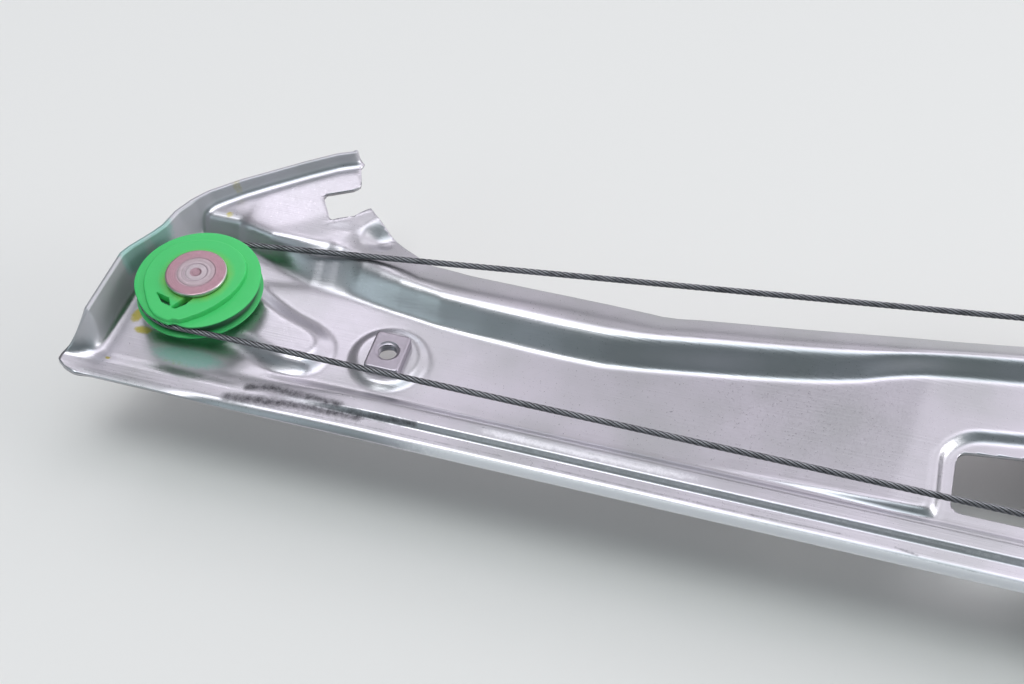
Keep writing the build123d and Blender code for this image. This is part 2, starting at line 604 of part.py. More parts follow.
def carrier_slider():
    """Acetal slider that wraps the guide edge, with a channel and pockets for the cable ends."""
    x0, x1 = CARRIER_X - CARRIER_HALF, CARRIER_X + CARRIER_HALF
    profile = [(2, PLATE_Z0), (2, 5.2), (-17.5, 5.2), (-19.6, 3.0), (-26.3, 3.0), (-27.9, 1.4),
               (-31.6, 1.4), (-34.5, -1.5), (-34.5, -3.4), (-32.0, -0.9), (-28.6, -0.9), (-28.6, -3.4),
               (-30.5, -5.6), (-36.5, -5.6), (-38.5, -3.6), (-38.5, PLATE_Z0)]
    body = along_x(profile, x0, x1)
    # the middle is cut back so that only two shoes touch the edge
    body -= block(x0 + 20, x1 - 20, -39, -27.5, -7, 4.2)
    body -= rod(CABLE_R + 0.5, x0 - 1, x1 + 1, -PITCH_R, CABLE_Z)
    body -= block(CARRIER_X - 20, CARRIER_X + 20, -PITCH_R - 3.2, -PITCH_R + 3.2, 5.3, PLATE_Z0 + 1)
    body += block(CARRIER_X - 1.5, CARRIER_X + 1.5, -PITCH_R - 3.3, -PITCH_R + 3.3, 5.2, PLATE_Z0)
    body -= rod(CABLE_R + 0.5, x0 - 1, x1 + 1, -PITCH_R, CABLE_Z)
    for x in (x0 + 9, x1 - 9):
        body -= block(x - 6, x + 6, -9, -1, 5, PLATE_Z0 - 2)
    return body


def carrier_plate():
    x0, x1 = CARRIER_X - 30, CARRIER_X + 30
    plate = slab([(x0, -36), (x1, -36), (x1, -6), (x1 - 8, 1), (x0 + 8, 1), (x0, -6)], PLATE_Z0, PLATE_Z1,
                 corner=2.5)
    edge = block(x0 + 5, x1 - 5, -37.6, -36, PLATE_Z0, PLATE_Z1 + 3.5)
    return plate + edge - disc(3.2, 9, 14, SCREW_X, CLAMP_Y - 7)


def carrier_rivets():
    rivets = []
    for x, y in ((CARRIER_X - 24, -5), (CARRIER_X + 24, -5), (CARRIER_X - 24, -31), (CARRIER_X + 24, -31)):
        rivets.append(turned([(0, PLATE_Z1), (3.6, PLATE_Z1), (3.2, PLATE_Z1 + 1), (1.8, PLATE_Z1 + 1.7),
                              (0, PLATE_Z1 + 1.7)], x, y))
    return rivets


def cable_nipples():
    pair = []
    for side in (-1, 1):
        x0 = CARRIER_X + (1.8 if side > 0 else -8.3)
        pair.append(rod(2.4, x0, x0 + 6.5, -PITCH_R, CABLE_Z)
                    - rod(CABLE_R + 0.35, x0 - 1, x0 + 8, -PITCH_R, CABLE_Z))
    return pair


def nipple_springs():
    pair = []
    for side in (-1, 1):
        x0 = CARRIER_X + (8.8 if side > 0 else -19.4)
        coil = Helix(pitch=2.2, height=10.0, radius=2.05)
        wire = sweep(Plane(origin=coil @ 0, z_dir=coil % 0) * Circle(0.35), coil, is_frenet=True)
        pair.append(Pos(x0, -PITCH_R, CABLE_Z) * Rot(0, 90, 0) * wire)
    return pair


def clamp_jaw():
    x_back = CARRIER_X + 18
    profile = [(CARRIER_X - 16, PAD_HIGH + 2), (x_back, PAD_HIGH + 2), (x_back, PLATE_Z1),
               (x_back + 9, PLATE_Z1), (x_back + 9, PLATE_Z1 + 2), (x_back + 2, PLATE_Z1 + 2),
               (x_back + 2, PAD_HIGH + 4), (CARRIER_X - 16, PAD_HIGH + 4)]
    jaw = along_y(profile, CLAMP_Y - 13, CLAMP_Y + 13)
    jaw -= block(x_back + 2, x_back + 10, CLAMP_Y - 14, CLAMP_Y - 5, PLATE_Z1 - 1, PLATE_Z1 + 3)
    return jaw - disc(3.2, PAD_HIGH, PAD_HIGH + 6, SCREW_X, CLAMP_Y - 7)


def glass_pads():
    pads = []
    for z in (PLATE_Z1, PAD_HIGH):
        pad = block(CARRIER_X - 15, CARRIER_X + 15, CLAMP_Y - 12, CLAMP_Y + 12, z, z + 2)
        pads.append(pad - disc(3.4, z - 1, z + 3, SCREW_X, CLAMP_Y - 7))
    return pads


def clamp_screw():
    z_head = PAD_HIGH + 4
    x, y = SCREW_X, CLAMP_Y - 7
    head = slab([(x + 5.6 * cos(radians(60 * i)), y + 5.6 * sin(radians(60 * i))) for i in range(6)],
                z_head, z_head + 4)
    return disc(3.0, 6.5, z_head + 1, x, y) + head + disc(7.0, z_head, z_head + 1, x, y)


def clamp_nut():
    x, y = SCREW_X, CLAMP_Y - 7
    return block(x - 5, x + 5, y - 5, y + 5, 6.6, PLATE_Z0) - disc(3.0, 6, 12, x, y)


def lower_stop():
    """Rubber buffer clipped on the guide edge, which the carrier meets with the glass down."""
    profile = [(-21, 2.6), (-21, 7), (-36, 7), (-36, -5), (-30, -5), (-30, -0.4), (-31.5, -0.4),
               (-34.2, -3.1), (-34.2, -1.5), (-31.5, 1.1), (-28, 1.1), (-26.3, 2.6)]
    return along_x(profile, 462, 470)


# ---------------------------------------------------------------- assembly
def regulator():
    clamp_pocket = block(SCREW_X - 5.1, SCREW_X + 5.1, CLAMP_Y - 12.1, CLAMP_Y - 1.9, 4.2, PLATE_Z0 + 1)
    return {
        "guide_rail": guide_rail(),
        "fixing_nuts": fixing_nuts(),
        "upper_pulley": pulley(0),
        "upper_pulley_rivet": pulley_rivet(0),
        "lower_pulley": pulley(PULLEY_SPAN),
        "lower_pulley_rivet": pulley_rivet(PULLEY_SPAN),
        "raising_cable": cable(CARRIER_X, 0, pi / 2 + STRAND_RISE, -1),
        "lowering_cable": cable(CARRIER_X, PULLEY_SPAN, lower_angle(), 1),
        "cable_drum": cable_drum(),
        "drum_winding": drum_winding(),
        "drive_dog": drive_dog(),
        "rubber_damper": rubber_damper(),
        "worm_wheel": worm_wheel(),
        "wheel_axle": wheel_axle(),
        "axle_clip": axle_clip(),
        "drum_housing": drum_housing(),
        "housing_screws": housing_screws(),
        "gear_housing": gear_housing(),
        "gear_cover": gear_cover(),
        "motor_can": motor_can(),
        "field_magnets": field_magnets(),
        "brush_holder": brush_holder(),
        "brushes": brushes(),
        "shaft_bushes": shaft_bushes(),
        "motor_screws": motor_screws(),
        "connector_housing": connector_housing(),
        "connector_pins": connector_pins(),
        "armature_shaft": armature_shaft(),
        "armature_core": armature_core(),
        "armature_winding": armature_winding(),
        "commutator": commutator(),
        "carrier_slider": carrier_slider() - clamp_pocket,
        "carrier_plate": carrier_plate(),
        "carrier_rivets": carrier_rivets(),
        "cable_nipples": cable_nipples(),
        "nipple_springs": nipple_springs(),
        "clamp_jaw": clamp_jaw(),
        "glass_pads": glass_pads(),
        "clamp_screw": clamp_screw(),
        "clamp_nut": clamp_nut(),
        "lower_stop": lower_stop(),
    }


def solids_of(piece):
    """The separate solids of a piece, or of a group of pieces."""
    members = piece if isinstance(piece, list) else [piece]
    return [solid for member in members for solid in member.solids()]


pieces = {name: Compound(children=solids_of(piece)) for name, piece in regulator().items()}
boxes = [piece.bounding_box() for piece in pieces.values()]
low = [min(tuple(box.min)[i] for box in boxes) for i in range(3)]
high = [max(tuple(box.max)[i] for box in boxes) for i in range(3)]
origin = ((low[0] + high[0]) / 2, (low[1] + high[1]) / 2, low[2])
print("box", [round(v, 2) for v in low], [round(v, 2) for v in high])
print("origin", [round(v, 3) for v in origin])

os.makedirs("parts", exist_ok=True)
for name, piece in pieces.items():
    placed = Pos(-origin[0], -origin[1], -origin[2]) * piece
    placed.label = name
    export_step(placed, f"parts/{name}.step")
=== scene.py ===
# %% [markdown]
# # A cable window regulator
# This lesson dresses a window regulator: the mechanism inside a car door that lifts the glass.
# A stamped steel rail carries a green pulley at each end. A bare steel cable runs round both and
# is wound by a drum, and a plastic carrier slides along the rail's edge. The engineering model
# gives every piece its place. Here each visible piece gets the surface that the eye expects.

# %% Load the frame and note its box
import bmesh
import bpy
import math
import numpy as np
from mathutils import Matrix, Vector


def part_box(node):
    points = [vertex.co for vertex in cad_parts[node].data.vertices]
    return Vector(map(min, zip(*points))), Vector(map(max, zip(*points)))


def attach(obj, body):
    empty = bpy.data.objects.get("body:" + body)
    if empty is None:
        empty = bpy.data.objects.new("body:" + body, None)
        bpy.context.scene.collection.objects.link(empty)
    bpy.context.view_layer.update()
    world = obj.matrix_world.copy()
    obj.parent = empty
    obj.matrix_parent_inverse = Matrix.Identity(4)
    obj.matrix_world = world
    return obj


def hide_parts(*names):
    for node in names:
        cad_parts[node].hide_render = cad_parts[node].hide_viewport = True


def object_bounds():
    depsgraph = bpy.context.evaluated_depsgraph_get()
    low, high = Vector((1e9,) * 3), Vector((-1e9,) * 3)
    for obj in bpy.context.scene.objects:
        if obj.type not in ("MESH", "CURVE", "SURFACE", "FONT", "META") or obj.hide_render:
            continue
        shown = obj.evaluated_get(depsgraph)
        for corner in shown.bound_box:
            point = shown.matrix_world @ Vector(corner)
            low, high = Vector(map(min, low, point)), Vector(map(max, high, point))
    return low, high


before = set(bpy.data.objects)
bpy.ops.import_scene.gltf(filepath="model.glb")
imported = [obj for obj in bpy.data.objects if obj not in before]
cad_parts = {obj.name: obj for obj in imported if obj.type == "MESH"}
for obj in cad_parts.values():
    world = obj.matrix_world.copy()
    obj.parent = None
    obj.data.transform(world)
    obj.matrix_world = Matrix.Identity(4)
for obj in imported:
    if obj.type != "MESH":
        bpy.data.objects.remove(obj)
CAD_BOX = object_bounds()
MM = 0.001
print("nodes", len(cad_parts))

# %% [markdown]
# ## A working frame in millimetres
# It is easier to think on the rail itself: millimetres from the upper pulley's axis, with z = 0 on
# the plate. The rivet's foot marks that level, so both come from the frame and nothing is guessed.

# %% The rail's own frame
(near_x, near_y, foot_z), (near_x2, near_y2, _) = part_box("upper_pulley_rivet")
(far_x, _, _), (far_x2, _, _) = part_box("lower_pulley_rivet")
ORIGIN = np.array([(near_x + near_x2) / 2, (near_y + near_y2) / 2, foot_z])
SPAN = ((far_x + far_x2) / 2 - ORIGIN[0]) / MM
FLOOR = CAD_BOX[0][2]
print("upper pulley at", ORIGIN, "span in mm", round(SPAN, 1))


def place(points):
    """Millimetres in the rail's frame to metres in the scene: origin + 0.001 * point."""
    return ORIGIN + MM * np.asarray(points, float)


# %% [markdown]
# ## Camera
# The view looks down on the upper end of the rail at fifty degrees, a little from the right, with
# a short telephoto. The rail runs out of the frame on the right.

# %% Camera
CAMERA_AT = (156.9, -227.1, 294.7)
CAMERA_PITCH, CAMERA_YAW = math.radians(50.2), math.radians(15.5)
camera_data = bpy.data.cameras.new("camera")
camera_data.lens, camera_data.sensor_width = 47.1, 36.0
camera = bpy.data.objects.new("camera", camera_data)
camera.location = place(CAMERA_AT)
camera.rotation_euler = (math.pi / 2 - CAMERA_PITCH, 0, CAMERA_YAW)
bpy.context.collection.objects.link(camera)
bpy.context.scene.camera = camera

# %% [markdown]
# ## Helpers for surfaces
# A new piece is a grid of points worked out as one array, and these helpers turn such a grid into
# a mesh. A grid may close on itself, as round a tube, and cells may be left out with a mask.


# %% Mesh helpers
def mesh_piece(name, points, faces):
    """Makes a smooth object from points in the rail's frame and quads or triangles given as indices."""
    mesh = bpy.data.meshes.new(name)
    mesh.from_pydata(place(points).tolist(), [], np.asarray(faces).tolist())
    mesh.validate()
    mesh.polygons.foreach_set("use_smooth", [True] * len(mesh.polygons))
    piece = bpy.data.objects.new(name, mesh)
    bpy.context.collection.objects.link(piece)
    return piece


def grid_faces(rows, columns, wrap_rows=False, wrap_columns=False, start=0):
    """Quads between neighbours of a rows x columns grid whose points are numbered row by row."""
    r = np.arange(rows if wrap_rows else rows - 1)[:, None]
    c = np.arange(columns if wrap_columns else columns - 1)[None, :]
    r1, c1 = (r + 1) % rows, (c + 1) % columns
    quads = np.stack([r * columns + c, r * columns + c1, r1 * columns + c1, r1 * columns + c], -1)
    return quads.reshape(-1, 4) + start


def points_of(piece):
    """A piece's points in the rail's frame, in millimetres."""
    flat = np.empty(3 * len(piece.data.vertices))
    piece.data.vertices.foreach_get("co", flat)
    return (flat.reshape(-1, 3) - ORIGIN) / MM


def full_turn(count):
    """Even angles round a full turn, in radians."""
    return np.linspace(0, 2 * math.pi, count, endpoint=False)


def smoothstep(x, low, high):
    """0 below low, 1 above high, and 3t^2 - 2t^3 between them."""
    t = np.clip((x - low) / (high - low), 0, 1)
    return t * t * (3 - 2 * t)


def soft_max(a, b, width):
    """The larger of two heights, with the crease between them rounded over about width."""
    return 0.5 * (a + b + np.sqrt((a - b) ** 2 + width * width)) - 0.5 * width


def distance_to_line(x, y, line):
    """Distance from each point to an open polyline: the least over its segments."""
    line = np.asarray(line, float)
    best = np.full(np.shape(x), 1e9)
    for (ax, ay), (bx, by) in zip(line[:-1], line[1:]):
        dx, dy = bx - ax, by - ay
        t = np.clip(((x - ax) * dx + (y - ay) * dy) / (dx * dx + dy * dy), 0, 1)
        best = np.minimum(best, np.hypot(x - ax - t * dx, y - ay - t * dy))
    return best


def inside(x, y, outline):
    """True where a point lies inside a closed polygon: an odd number of its sides are to the right."""
    outline = np.asarray(outline, float)
    hit = np.zeros(np.shape(x), bool)
    for (ax, ay), (bx, by) in zip(outline, np.roll(outline, -1, axis=0)):
        crosses = (ay > y) != (by > y)
        at = ax + (y - ay) * (bx - ax) / np.where(by == ay, 1e-9, by - ay)
        hit ^= crosses & (x < at)
    return hit


def depth_in(x, y, outline):
    """Signed distance to a closed polygon, positive inside it."""
    gap = distance_to_line(x, y, list(outline) + [outline[0]])
    return np.where(inside(x, y, outline), gap, -gap)


def rounded(points, radius, steps=5):
    """A closed polygon with its corners replaced by quadratic curves that start radius before them."""
    out = []
    p = np.asarray(points, float)
    for a, b, c in zip(np.roll(p, 1, axis=0), p, np.roll(p, -1, axis=0)):
        before, after = np.hypot(*(a - b)), np.hypot(*(c - b))
        r = min(radius, 0.45 * before, 0.45 * after)
        start, end = b + (a - b) / before * r, b + (c - b) / after * r
        for t in np.linspace(0, 1, steps):
            out.append((1 - t) ** 2 * start + 2 * t * (1 - t) * b + t * t * end)
    return np.array(out)


# %% [markdown]
# ## The stamped rail
# The real rail is one sheet of zinc-plated steel, 1.2 mm thick, pressed between two dies. A sheet
# that is pressed has no undercuts, so its face is a height over the plan: h(x, y). Each feature of
# the die, such as a bead, a seat or a recess, is a smooth step of the distance to a line drawn in
# plan. Only the end walls stand too steep for that, and they are profiles carried along the ends
# of the same grid, so the sheet stays one skin.

# %% Lines of the die, in millimetres
SHEET, GUIDE_EDGE, PLATFORM = 1.2, -34.0, 2.5  # gauge, y of the rolled edge, rise round the drum
WALL_Z, WALL_BEND, WALL_LEAN = 12.0, 2.6, math.radians(77)  # end walls: top, bend radius, angle
WALL_ENDS = (61.0, 30.0)  # the y at which the left and right walls end
DRUM = np.array([285.0, 35.906])
# each nut's x and y, the rise of its pad, and the height of its foot
FIXINGS = [(59.3, -6.1, 1.2, 1.2), (428.0, -6.1, 1.2, 1.2), (331.0, 36.0, 2.2, 4.7)]
WALL_TOP = [
    (-24, -29), (-24, 2), (-22.9, 4.8), (-18.8, 12), (-17, 16), (-15.9, 22), (-13.2, 27.9), (-10, 32.4),
    (-2.5, 39.5), (5.4, 45.8), (13.4, 52.2), (21.7, 58.3), (26.9, 60.8)]
FAR_WALL_TOP = [(507, -29), (507, 6), (502, 18), (492, 27), (478, 30)]
FOOT = np.array([
    (-60, 26), (0.6, 26), (5.4, 23.8), (12.6, 20.6), (20.2, 17.6), (27.7, 14.7), (34.4, 13.6), (41, 12.6),
    (50.8, 11.3), (57.2, 10.6), (69.9, 9), (82.2, 8.1), (94.2, 7.6), (106, 7.3), (117.7, 7.5),
    (128.9, 9.2), (145.3, 12.2), (161.8, 15.0), (172.7, 16.9), (180.8, 18.6), (188.8, 21.0), (194.1, 23.4),
    (199.4, 25.4), (204.7, 26.8), (215.6, 28.6), (226.4, 30.2), (247, 33.4)])
CREST = np.array([
    (-60, 27.2), (5.2, 26.0), (12.2, 24.9), (21.2, 26.0), (30.2, 27.1), (35, 26.0), (39.5, 23.2),
    (42.3, 20.9), (48.7, 18.6), (55.5, 16.8), (61.8, 16.1), (68.3, 15.0), (80.3, 14.8), (92.2, 14.8),
    (104.1, 14.5), (115.7, 14.5), (127.3, 15.2), (143.6, 17.7), (160.1, 20.4), (171, 22.3), (187.3, 25.3),
    (198.1, 27.6), (214.1, 31.4), (224.9, 33.4), (247, 37.0)])
CREASE = np.array([
    (36, 33), (44, 32), (52, 28.5), (60, 24.5), (72, 23.5), (131, 23.5), (142.2, 25.8), (170.4, 30.0),
    (198, 34.9), (231, 41.0), (250, 44.0)])
TEARDROP = [
    (-19, 5), (-17, -9), (-9, -15.4), (5, -15.4), (9.3, -13.9), (15.7, -14.3), (22.9, -17.1), (30, -19.6),
    (37.1, -19.3), (42.4, -15.7), (44.6, -9.3), (43.5, -4.4), (40.5, -1), (35.8, 1.7), (28.8, 3.7),
    (21.1, 7.3), (14.9, 10.9), (10, 16), (0, 20), (-13, 16)]
print("die lines ready")


# %% Height of the sheet's face
def guide_height(x, y):
    """Across the guide edge: plate, ramp up to a shelf, step down to a strip, rolled-down edge."""
    shelf = PLATFORM * smoothstep(x, 16, 64)
    ramp = 1 - smoothstep(y, -22.6, -18.6)
    ledge = smoothstep(x, 20, 60)
    down = (1 - smoothstep(y, -28.6, -24.5)) * (1 - ledge) + np.clip((-26.5 - y) / 1.4, 0, 1) * ledge
    roll = np.clip(-31.2 - y, 0, None)
    # where the slider runs, its channel needs the edge to curl down further
    curl = 0.05 + 0.15 * smoothstep(x, 2, 19) + 0.07 * ledge
    return shelf * ramp * (1 - down) + (0.45 + 0.55 * ledge) * down - roll ** 2 * curl


def soft_ramp(s, width, low_bend, high_bend):
    """A ramp from 0 at s = 0 to 1 at s = width. Both corners are hyperbolas, so they are rounded."""
    up = 0.5 * (s + np.sqrt(s * s + low_bend * low_bend))
    return 0.5 * (up + width - np.sqrt((up - width) ** 2 + high_bend * high_bend)) / width


def slope_height(x, y):
    """The pressed slope along the far side: the arm's plateau, then a rounded ridge to its right."""
    foot, crest, crease = (np.interp(x, line[:, 0], line[:, 1]) for line in (FOOT, CREST, CREASE))
    side = x - 0.67 * np.clip(y - 27, 0, None)
    mix = smoothstep(side, 31.5, 43.5)
    width = np.maximum(crest - foot, 0.8)
    base = platform_height(x, y)
    arm = 8.0 * soft_ramp(y - foot, width, 1.2, 0.9)
    fold = (y - 26.6) - 0.74 * (x - 9.7)
    arm = arm - 0.55 * smoothstep(-fold, 0.0, 12) * smoothstep(y, 25, 28)
    arm = arm + 0.35 * smoothstep(x - 27.3 - 1.25 * (y - 34.9), -0.5, 2.5) * smoothstep(y, 32, 36)
    along = y - foot
    wall = base + (6.0 - base) / width * 0.5 * (along + np.sqrt(along ** 2 + 0.5))
    fall_from = 7.5 - 3.6 * (y - crest - 1.0) / np.maximum(crease - crest - 1.0, 2.0)
    ridge = -soft_max(-wall, -fall_from, 3.2)
    above = -soft_max(-base, -fall_from, 3.2) - base  # what rounding the crest adds far from it
    ridge = ridge - above * (1 - smoothstep(wall - base, 0.0, 6.0))
    lip = 3.3 - 0.30 * (y - crease)
    ridge = soft_max(ridge, np.minimum(lip, 3.6) * smoothstep(y, crest + 1, crease), 0.5)
    recess = 1.6 * (1 - smoothstep(np.hypot((x - 43.0) / 6.4, (y - 33.0) / 6.0), 0.0, 1.0))
    ends = 1 - smoothstep(x, 236, 250)
    return arm * (1 - mix) + (ridge * ends + base * (1 - ends)) * mix - recess * smoothstep(x, 37, 40)


def platform_height(x, y):
    """The raised zone round the drum, its long ramp, and the low border of the cut-out."""
    along = x - 0.16 * y
    ramp = PLATFORM * np.clip((along - 146) / 57, 0, 1) * (1 - smoothstep(x, 346, 353))
    border = [(212.5, -30), (212.5, 3), (219, 9.8), (248.5, 14.5), (253, 10), (253, -30)]
    to_edge = -soft_max(depth_in(x, y, rounded(border, 6)), -(y + 19.2), 3.0)
    return ramp * smoothstep(to_edge, -0.4, 3.2)


def face_height(x, y):
    """All features of the die put together."""
    seat = 3.0 * smoothstep(depth_in(x, y, rounded(TEARDROP, 6)), -0.6, 6.5)
    far_seat = 3.0 * smoothstep(25 - np.hypot(x - SPAN, y), 0, 6)
    far_bead = [(350, 24), (400, 14), (452, 11), (452, 25), (400, 29), (350, 40)]
    far_rib = 4.0 * smoothstep(depth_in(x, y, rounded(far_bead, 4)), 0, 4)
    up = soft_max(seat, slope_height(x, y), 0.6)
    up = np.maximum(np.maximum(up, far_rib), far_seat)
    h = guide_height(x, y) + np.where(y > -20, up, seat)
    for nut_x, nut_y, pad, _ in FIXINGS:
        h = h + pad * smoothstep(11.9 - np.hypot(x - nut_x, y - nut_y), 0.0, 3.4)
    return h


# %% Grid of the sheet with its walls
def stations(*stretches):
    """Sample positions along stretches of (start, end, step), and the last end."""
    inner = [np.arange(a, b - 0.3 * step, step) for a, b, step in stretches]
    return np.append(np.concatenate(inner), stretches[-1][1])


def wall_line(line, y):
    """The wall's top line read at each row: its x and its outward normal in plan."""
    p = np.asarray(line, float)
    x = np.interp(y, p[:, 1], p[:, 0])
    step = 2.5
    slope = (np.interp(y + step, p[:, 1], p[:, 0]) - np.interp(y - step, p[:, 1], p[:, 0])) / (2 * step)
    return x, np.stack([-np.ones_like(slope), slope], -1) / np.hypot(1, slope)[:, None]


ROWS = stations((GUIDE_EDGE, -26, 0.32), (-26, -18, 0.5), (-18, 62, 0.8), (62, 82.4, 1.3))
COLUMNS = stations((-20, 70, 0.72), (70, 212, 1.4), (212, 254, 0.9), (254, 500, 2.2))
WALL_STEPS = 14


def wall_profile(t, height):
    """A wall's section: t runs 0..1 from its foot, round a bend, to its top. Gives out and up."""
    bend = np.minimum(WALL_BEND, height * 0.7)
    arc = bend * WALL_LEAN
    straight = np.maximum(height - bend * (1 - math.cos(WALL_LEAN)), 0) / math.sin(WALL_LEAN)
    s = t * (arc + straight)
    a = np.minimum(s / np.maximum(bend, 1e-6), WALL_LEAN)
    rest = np.maximum(s - arc, 0)
    return (bend * np.sin(a) + rest * math.cos(WALL_LEAN),
            bend * (1 - np.cos(a)) + rest * math.sin(WALL_LEAN))


def wall_foot(top_x, y, normal):
    """Where the wall meets the face: its top line moved in by the profile's width, found in 3 rounds."""
    foot = np.stack([top_x, y], -1) - 4 * normal
    for _ in range(3):
        out, _ = wall_profile(1.0, WALL_Z - face_height(foot[:, 0], foot[:, 1]))
        foot = np.stack([top_x, y], -1) - out[:, None] * normal
    return foot


def sheet_grid():
    """Points of the sheet row by row: left wall from its top to its foot, the face, right wall."""
    y = ROWS
    top_x, normal = wall_line(WALL_TOP, y)
    foot = wall_foot(top_x, y, normal)
    far_x, far_normal = wall_line(FAR_WALL_TOP, y)
    far_normal = -far_normal
    far_foot = wall_foot(far_x, y, far_normal)
    near_fade = 1 - smoothstep(COLUMNS, -20, 45)
    far_fade = smoothstep(COLUMNS, 440, 500)
    base_x = (COLUMNS[None, :] + (foot[:, :1] - COLUMNS[0]) * near_fade
              + (far_foot[:, :1] - COLUMNS[-1]) * far_fade)
    base_y = y[:, None] + (foot[:, 1:] - y[:, None]) * near_fade + (far_foot[:, 1:] - y[:, None]) * far_fade
    face = np.stack([base_x, base_y, face_height(base_x, base_y)], -1)

    def wall(edge, normals, corner_x):
        t = np.linspace(1, 0, WALL_STEPS, endpoint=False)[None, :]
        out, up = wall_profile(t, (WALL_Z - edge[:, None, 2]) * np.ones_like(t))
        stand = edge[:, None] + np.concatenate([out[..., None] * normals[:, None], up[..., None]], -1)
        # below y = -27 the wall lies down into the guide flange's corner tab
        tab = np.interp(y, [-34, -33, -31.5, -29.5, -27], corner_x)
        flat_x, flat_y = edge[:, None, 0] + t * (tab - edge[:, 0])[:, None], y[:, None] * np.ones_like(t)
        lying = np.stack([flat_x, flat_y, face_height(flat_x, flat_y) + 0.8 * t ** 2], -1)
        share = smoothstep(y, -29.6, -19.5)[:, None, None]
        return stand * share + lying * (1 - share)

    left = wall(face[:, 0], normal, [-23.8, -28.0, -30.2, -30.3, -29.4])
    right = wall(face[:, -1], far_normal, [505.0, 506.0, 506.5, 506.8, 506.9])[:, ::-1]
    return np.concatenate([left, face, right], 1)


sheet = sheet_grid()
print("sheet grid", sheet.shape)


# %% [markdown]
# ### Trimming the sheet
# The grid covers more than the blank. Cells outside the blank's outline or inside a hole are left
# out, and the points of the cells that stay are pulled on to the outline where they lie close to
# it, so the cut edge is a clean line and not a staircase. Solidify then gives the sheet its gauge.

# %% Outline, cut-out and holes
def around_drum(angle, radius):
    """A point on a circle round the drum's axis."""
    return tuple(DRUM + radius * np.array([math.cos(math.radians(angle)), math.sin(math.radians(angle))]))


ARM_AND_NOTCH = [
    (27.6, 61.6), (30.9, 53.0), (31.2, 51.2), (29.6, 49.2), (21.3, 44.6), (27.3, 34.9), (29.6, 36.6),
    (33.7, 38.3), (35.4, 41.0), (37.4, 43.0), (40, 40.6), (42, 39.2), (51.3, 33.6), (60.3, 29.9),
    (75, 28.9)]
EDGE_TO_DRUM = [(120, 28.5), (136, 28.3), (231, 43.9), (243, 49)]
BULGE = [around_drum(a, 46) for a in range(150, 19, -13)]
EDGE_TO_END = [(345, 45), (400, 33), (445, 30), (477, 30.5), (520, 30.5), (520, -40), (-40, -40), (-40, 61.6)]
BLANK = np.array(ARM_AND_NOTCH + EDGE_TO_DRUM + BULGE + EDGE_TO_END)
CUT_OUT = rounded([(215.7, -15.3), (250, -15.3), (250, 9), (216.6, 4.6)], 3.6, 7)
EARS = [around_drum(a, 33) for a in (90, 222, 318)]
HOLES = [(0, 0, 4.0), (SPAN, 0, 4.0), (*DRUM, 15.0)]
HOLES += [(x, y, 3.4) for x, y, _, _ in FIXINGS] + [(x, y, 2.9) for x, y in EARS]


def blank_depth(x, y):
    """Signed distance to the edge of the metal: inside the blank, outside the cut-out and holes."""
    depth = np.minimum(depth_in(x, y, BLANK), -depth_in(x, y, CUT_OUT))
    for hx, hy, r in HOLES:
        depth = np.minimum(depth, np.hypot(x - hx, y - hy) - r)
    return depth


def onto_edge(x, y):
    """Moves points on to the edge of the metal: four steps down the slope of the distance to it."""
    e = 0.02
    for _ in range(4):
        d = blank_depth(x, y)
        gx = (blank_depth(x + e, y) - blank_depth(x - e, y)) / (2 * e)
        gy = (blank_depth(x, y + e) - blank_depth(x, y - e)) / (2 * e)
        size = np.maximum(gx * gx + gy * gy, 0.25)
        x, y = x - d * gx / size, y - d * gy / size
    return x, y


def trimmed_sheet(grid):
    """Keeps each cell with a corner in the metal and moves its other corners on to the edge."""
    points = grid.copy()
    face = slice(WALL_STEPS, grid.shape[1] - WALL_STEPS)
    held = blank_depth(grid[:, face, 0], grid[:, face, 1]) > 0
    padded = np.pad(held, 1)
    rows, columns = held.shape
    near = np.any([padded[i:i + rows, j:j + columns] for i in range(3) for j in range(3)], axis=0)
    moved = near & ~held
    fx, fy = points[:, face, 0], points[:, face, 1]
    fx[moved], fy[moved] = onto_edge(fx[moved], fy[moved])
    points[:, face, 2] = face_height(fx, fy)
    inner = np.zeros(grid.shape[:2], bool)
    inner[:, face] = held
    inner[:, :WALL_STEPS] = (grid[:, :WALL_STEPS, 1].min(1) < WALL_ENDS[0])[:, None]
    inner[:, -WALL_STEPS:] = (grid[:, -WALL_STEPS:, 1].max(1) < WALL_ENDS[1])[:, None]
    usable = inner.copy()
    usable[:, face] |= near
    quads = grid_faces(*grid.shape[:2])
    quads = quads[inner.ravel()[quads].any(1) & usable.ravel()[quads].all(1)]
    used, faces = np.unique(quads, return_inverse=True)
    return points.reshape(-1, 3)[used], faces.reshape(-1, 4)


rail = mesh_piece("rail_sheet", *trimmed_sheet(sheet))
gauge = rail.modifiers.new("gauge", "SOLIDIFY")
gauge.thickness, gauge.offset = SHEET * MM, -1
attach(rail, "rail")
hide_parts("guide_rail")
print("rail quads", len(rail.data.polygons))


# %% [markdown]
# ## The green pulleys
# A pulley is one moulding of acetal. It is turned everywhere except its upper face: there a raised
# disc runs out to a point that holds the cable in the groove, and the rim steps down beside the
# point, so that the cable can be threaded. The moulding is a polar grid, and each ring of the grid
# has its own radius and height round the axis.


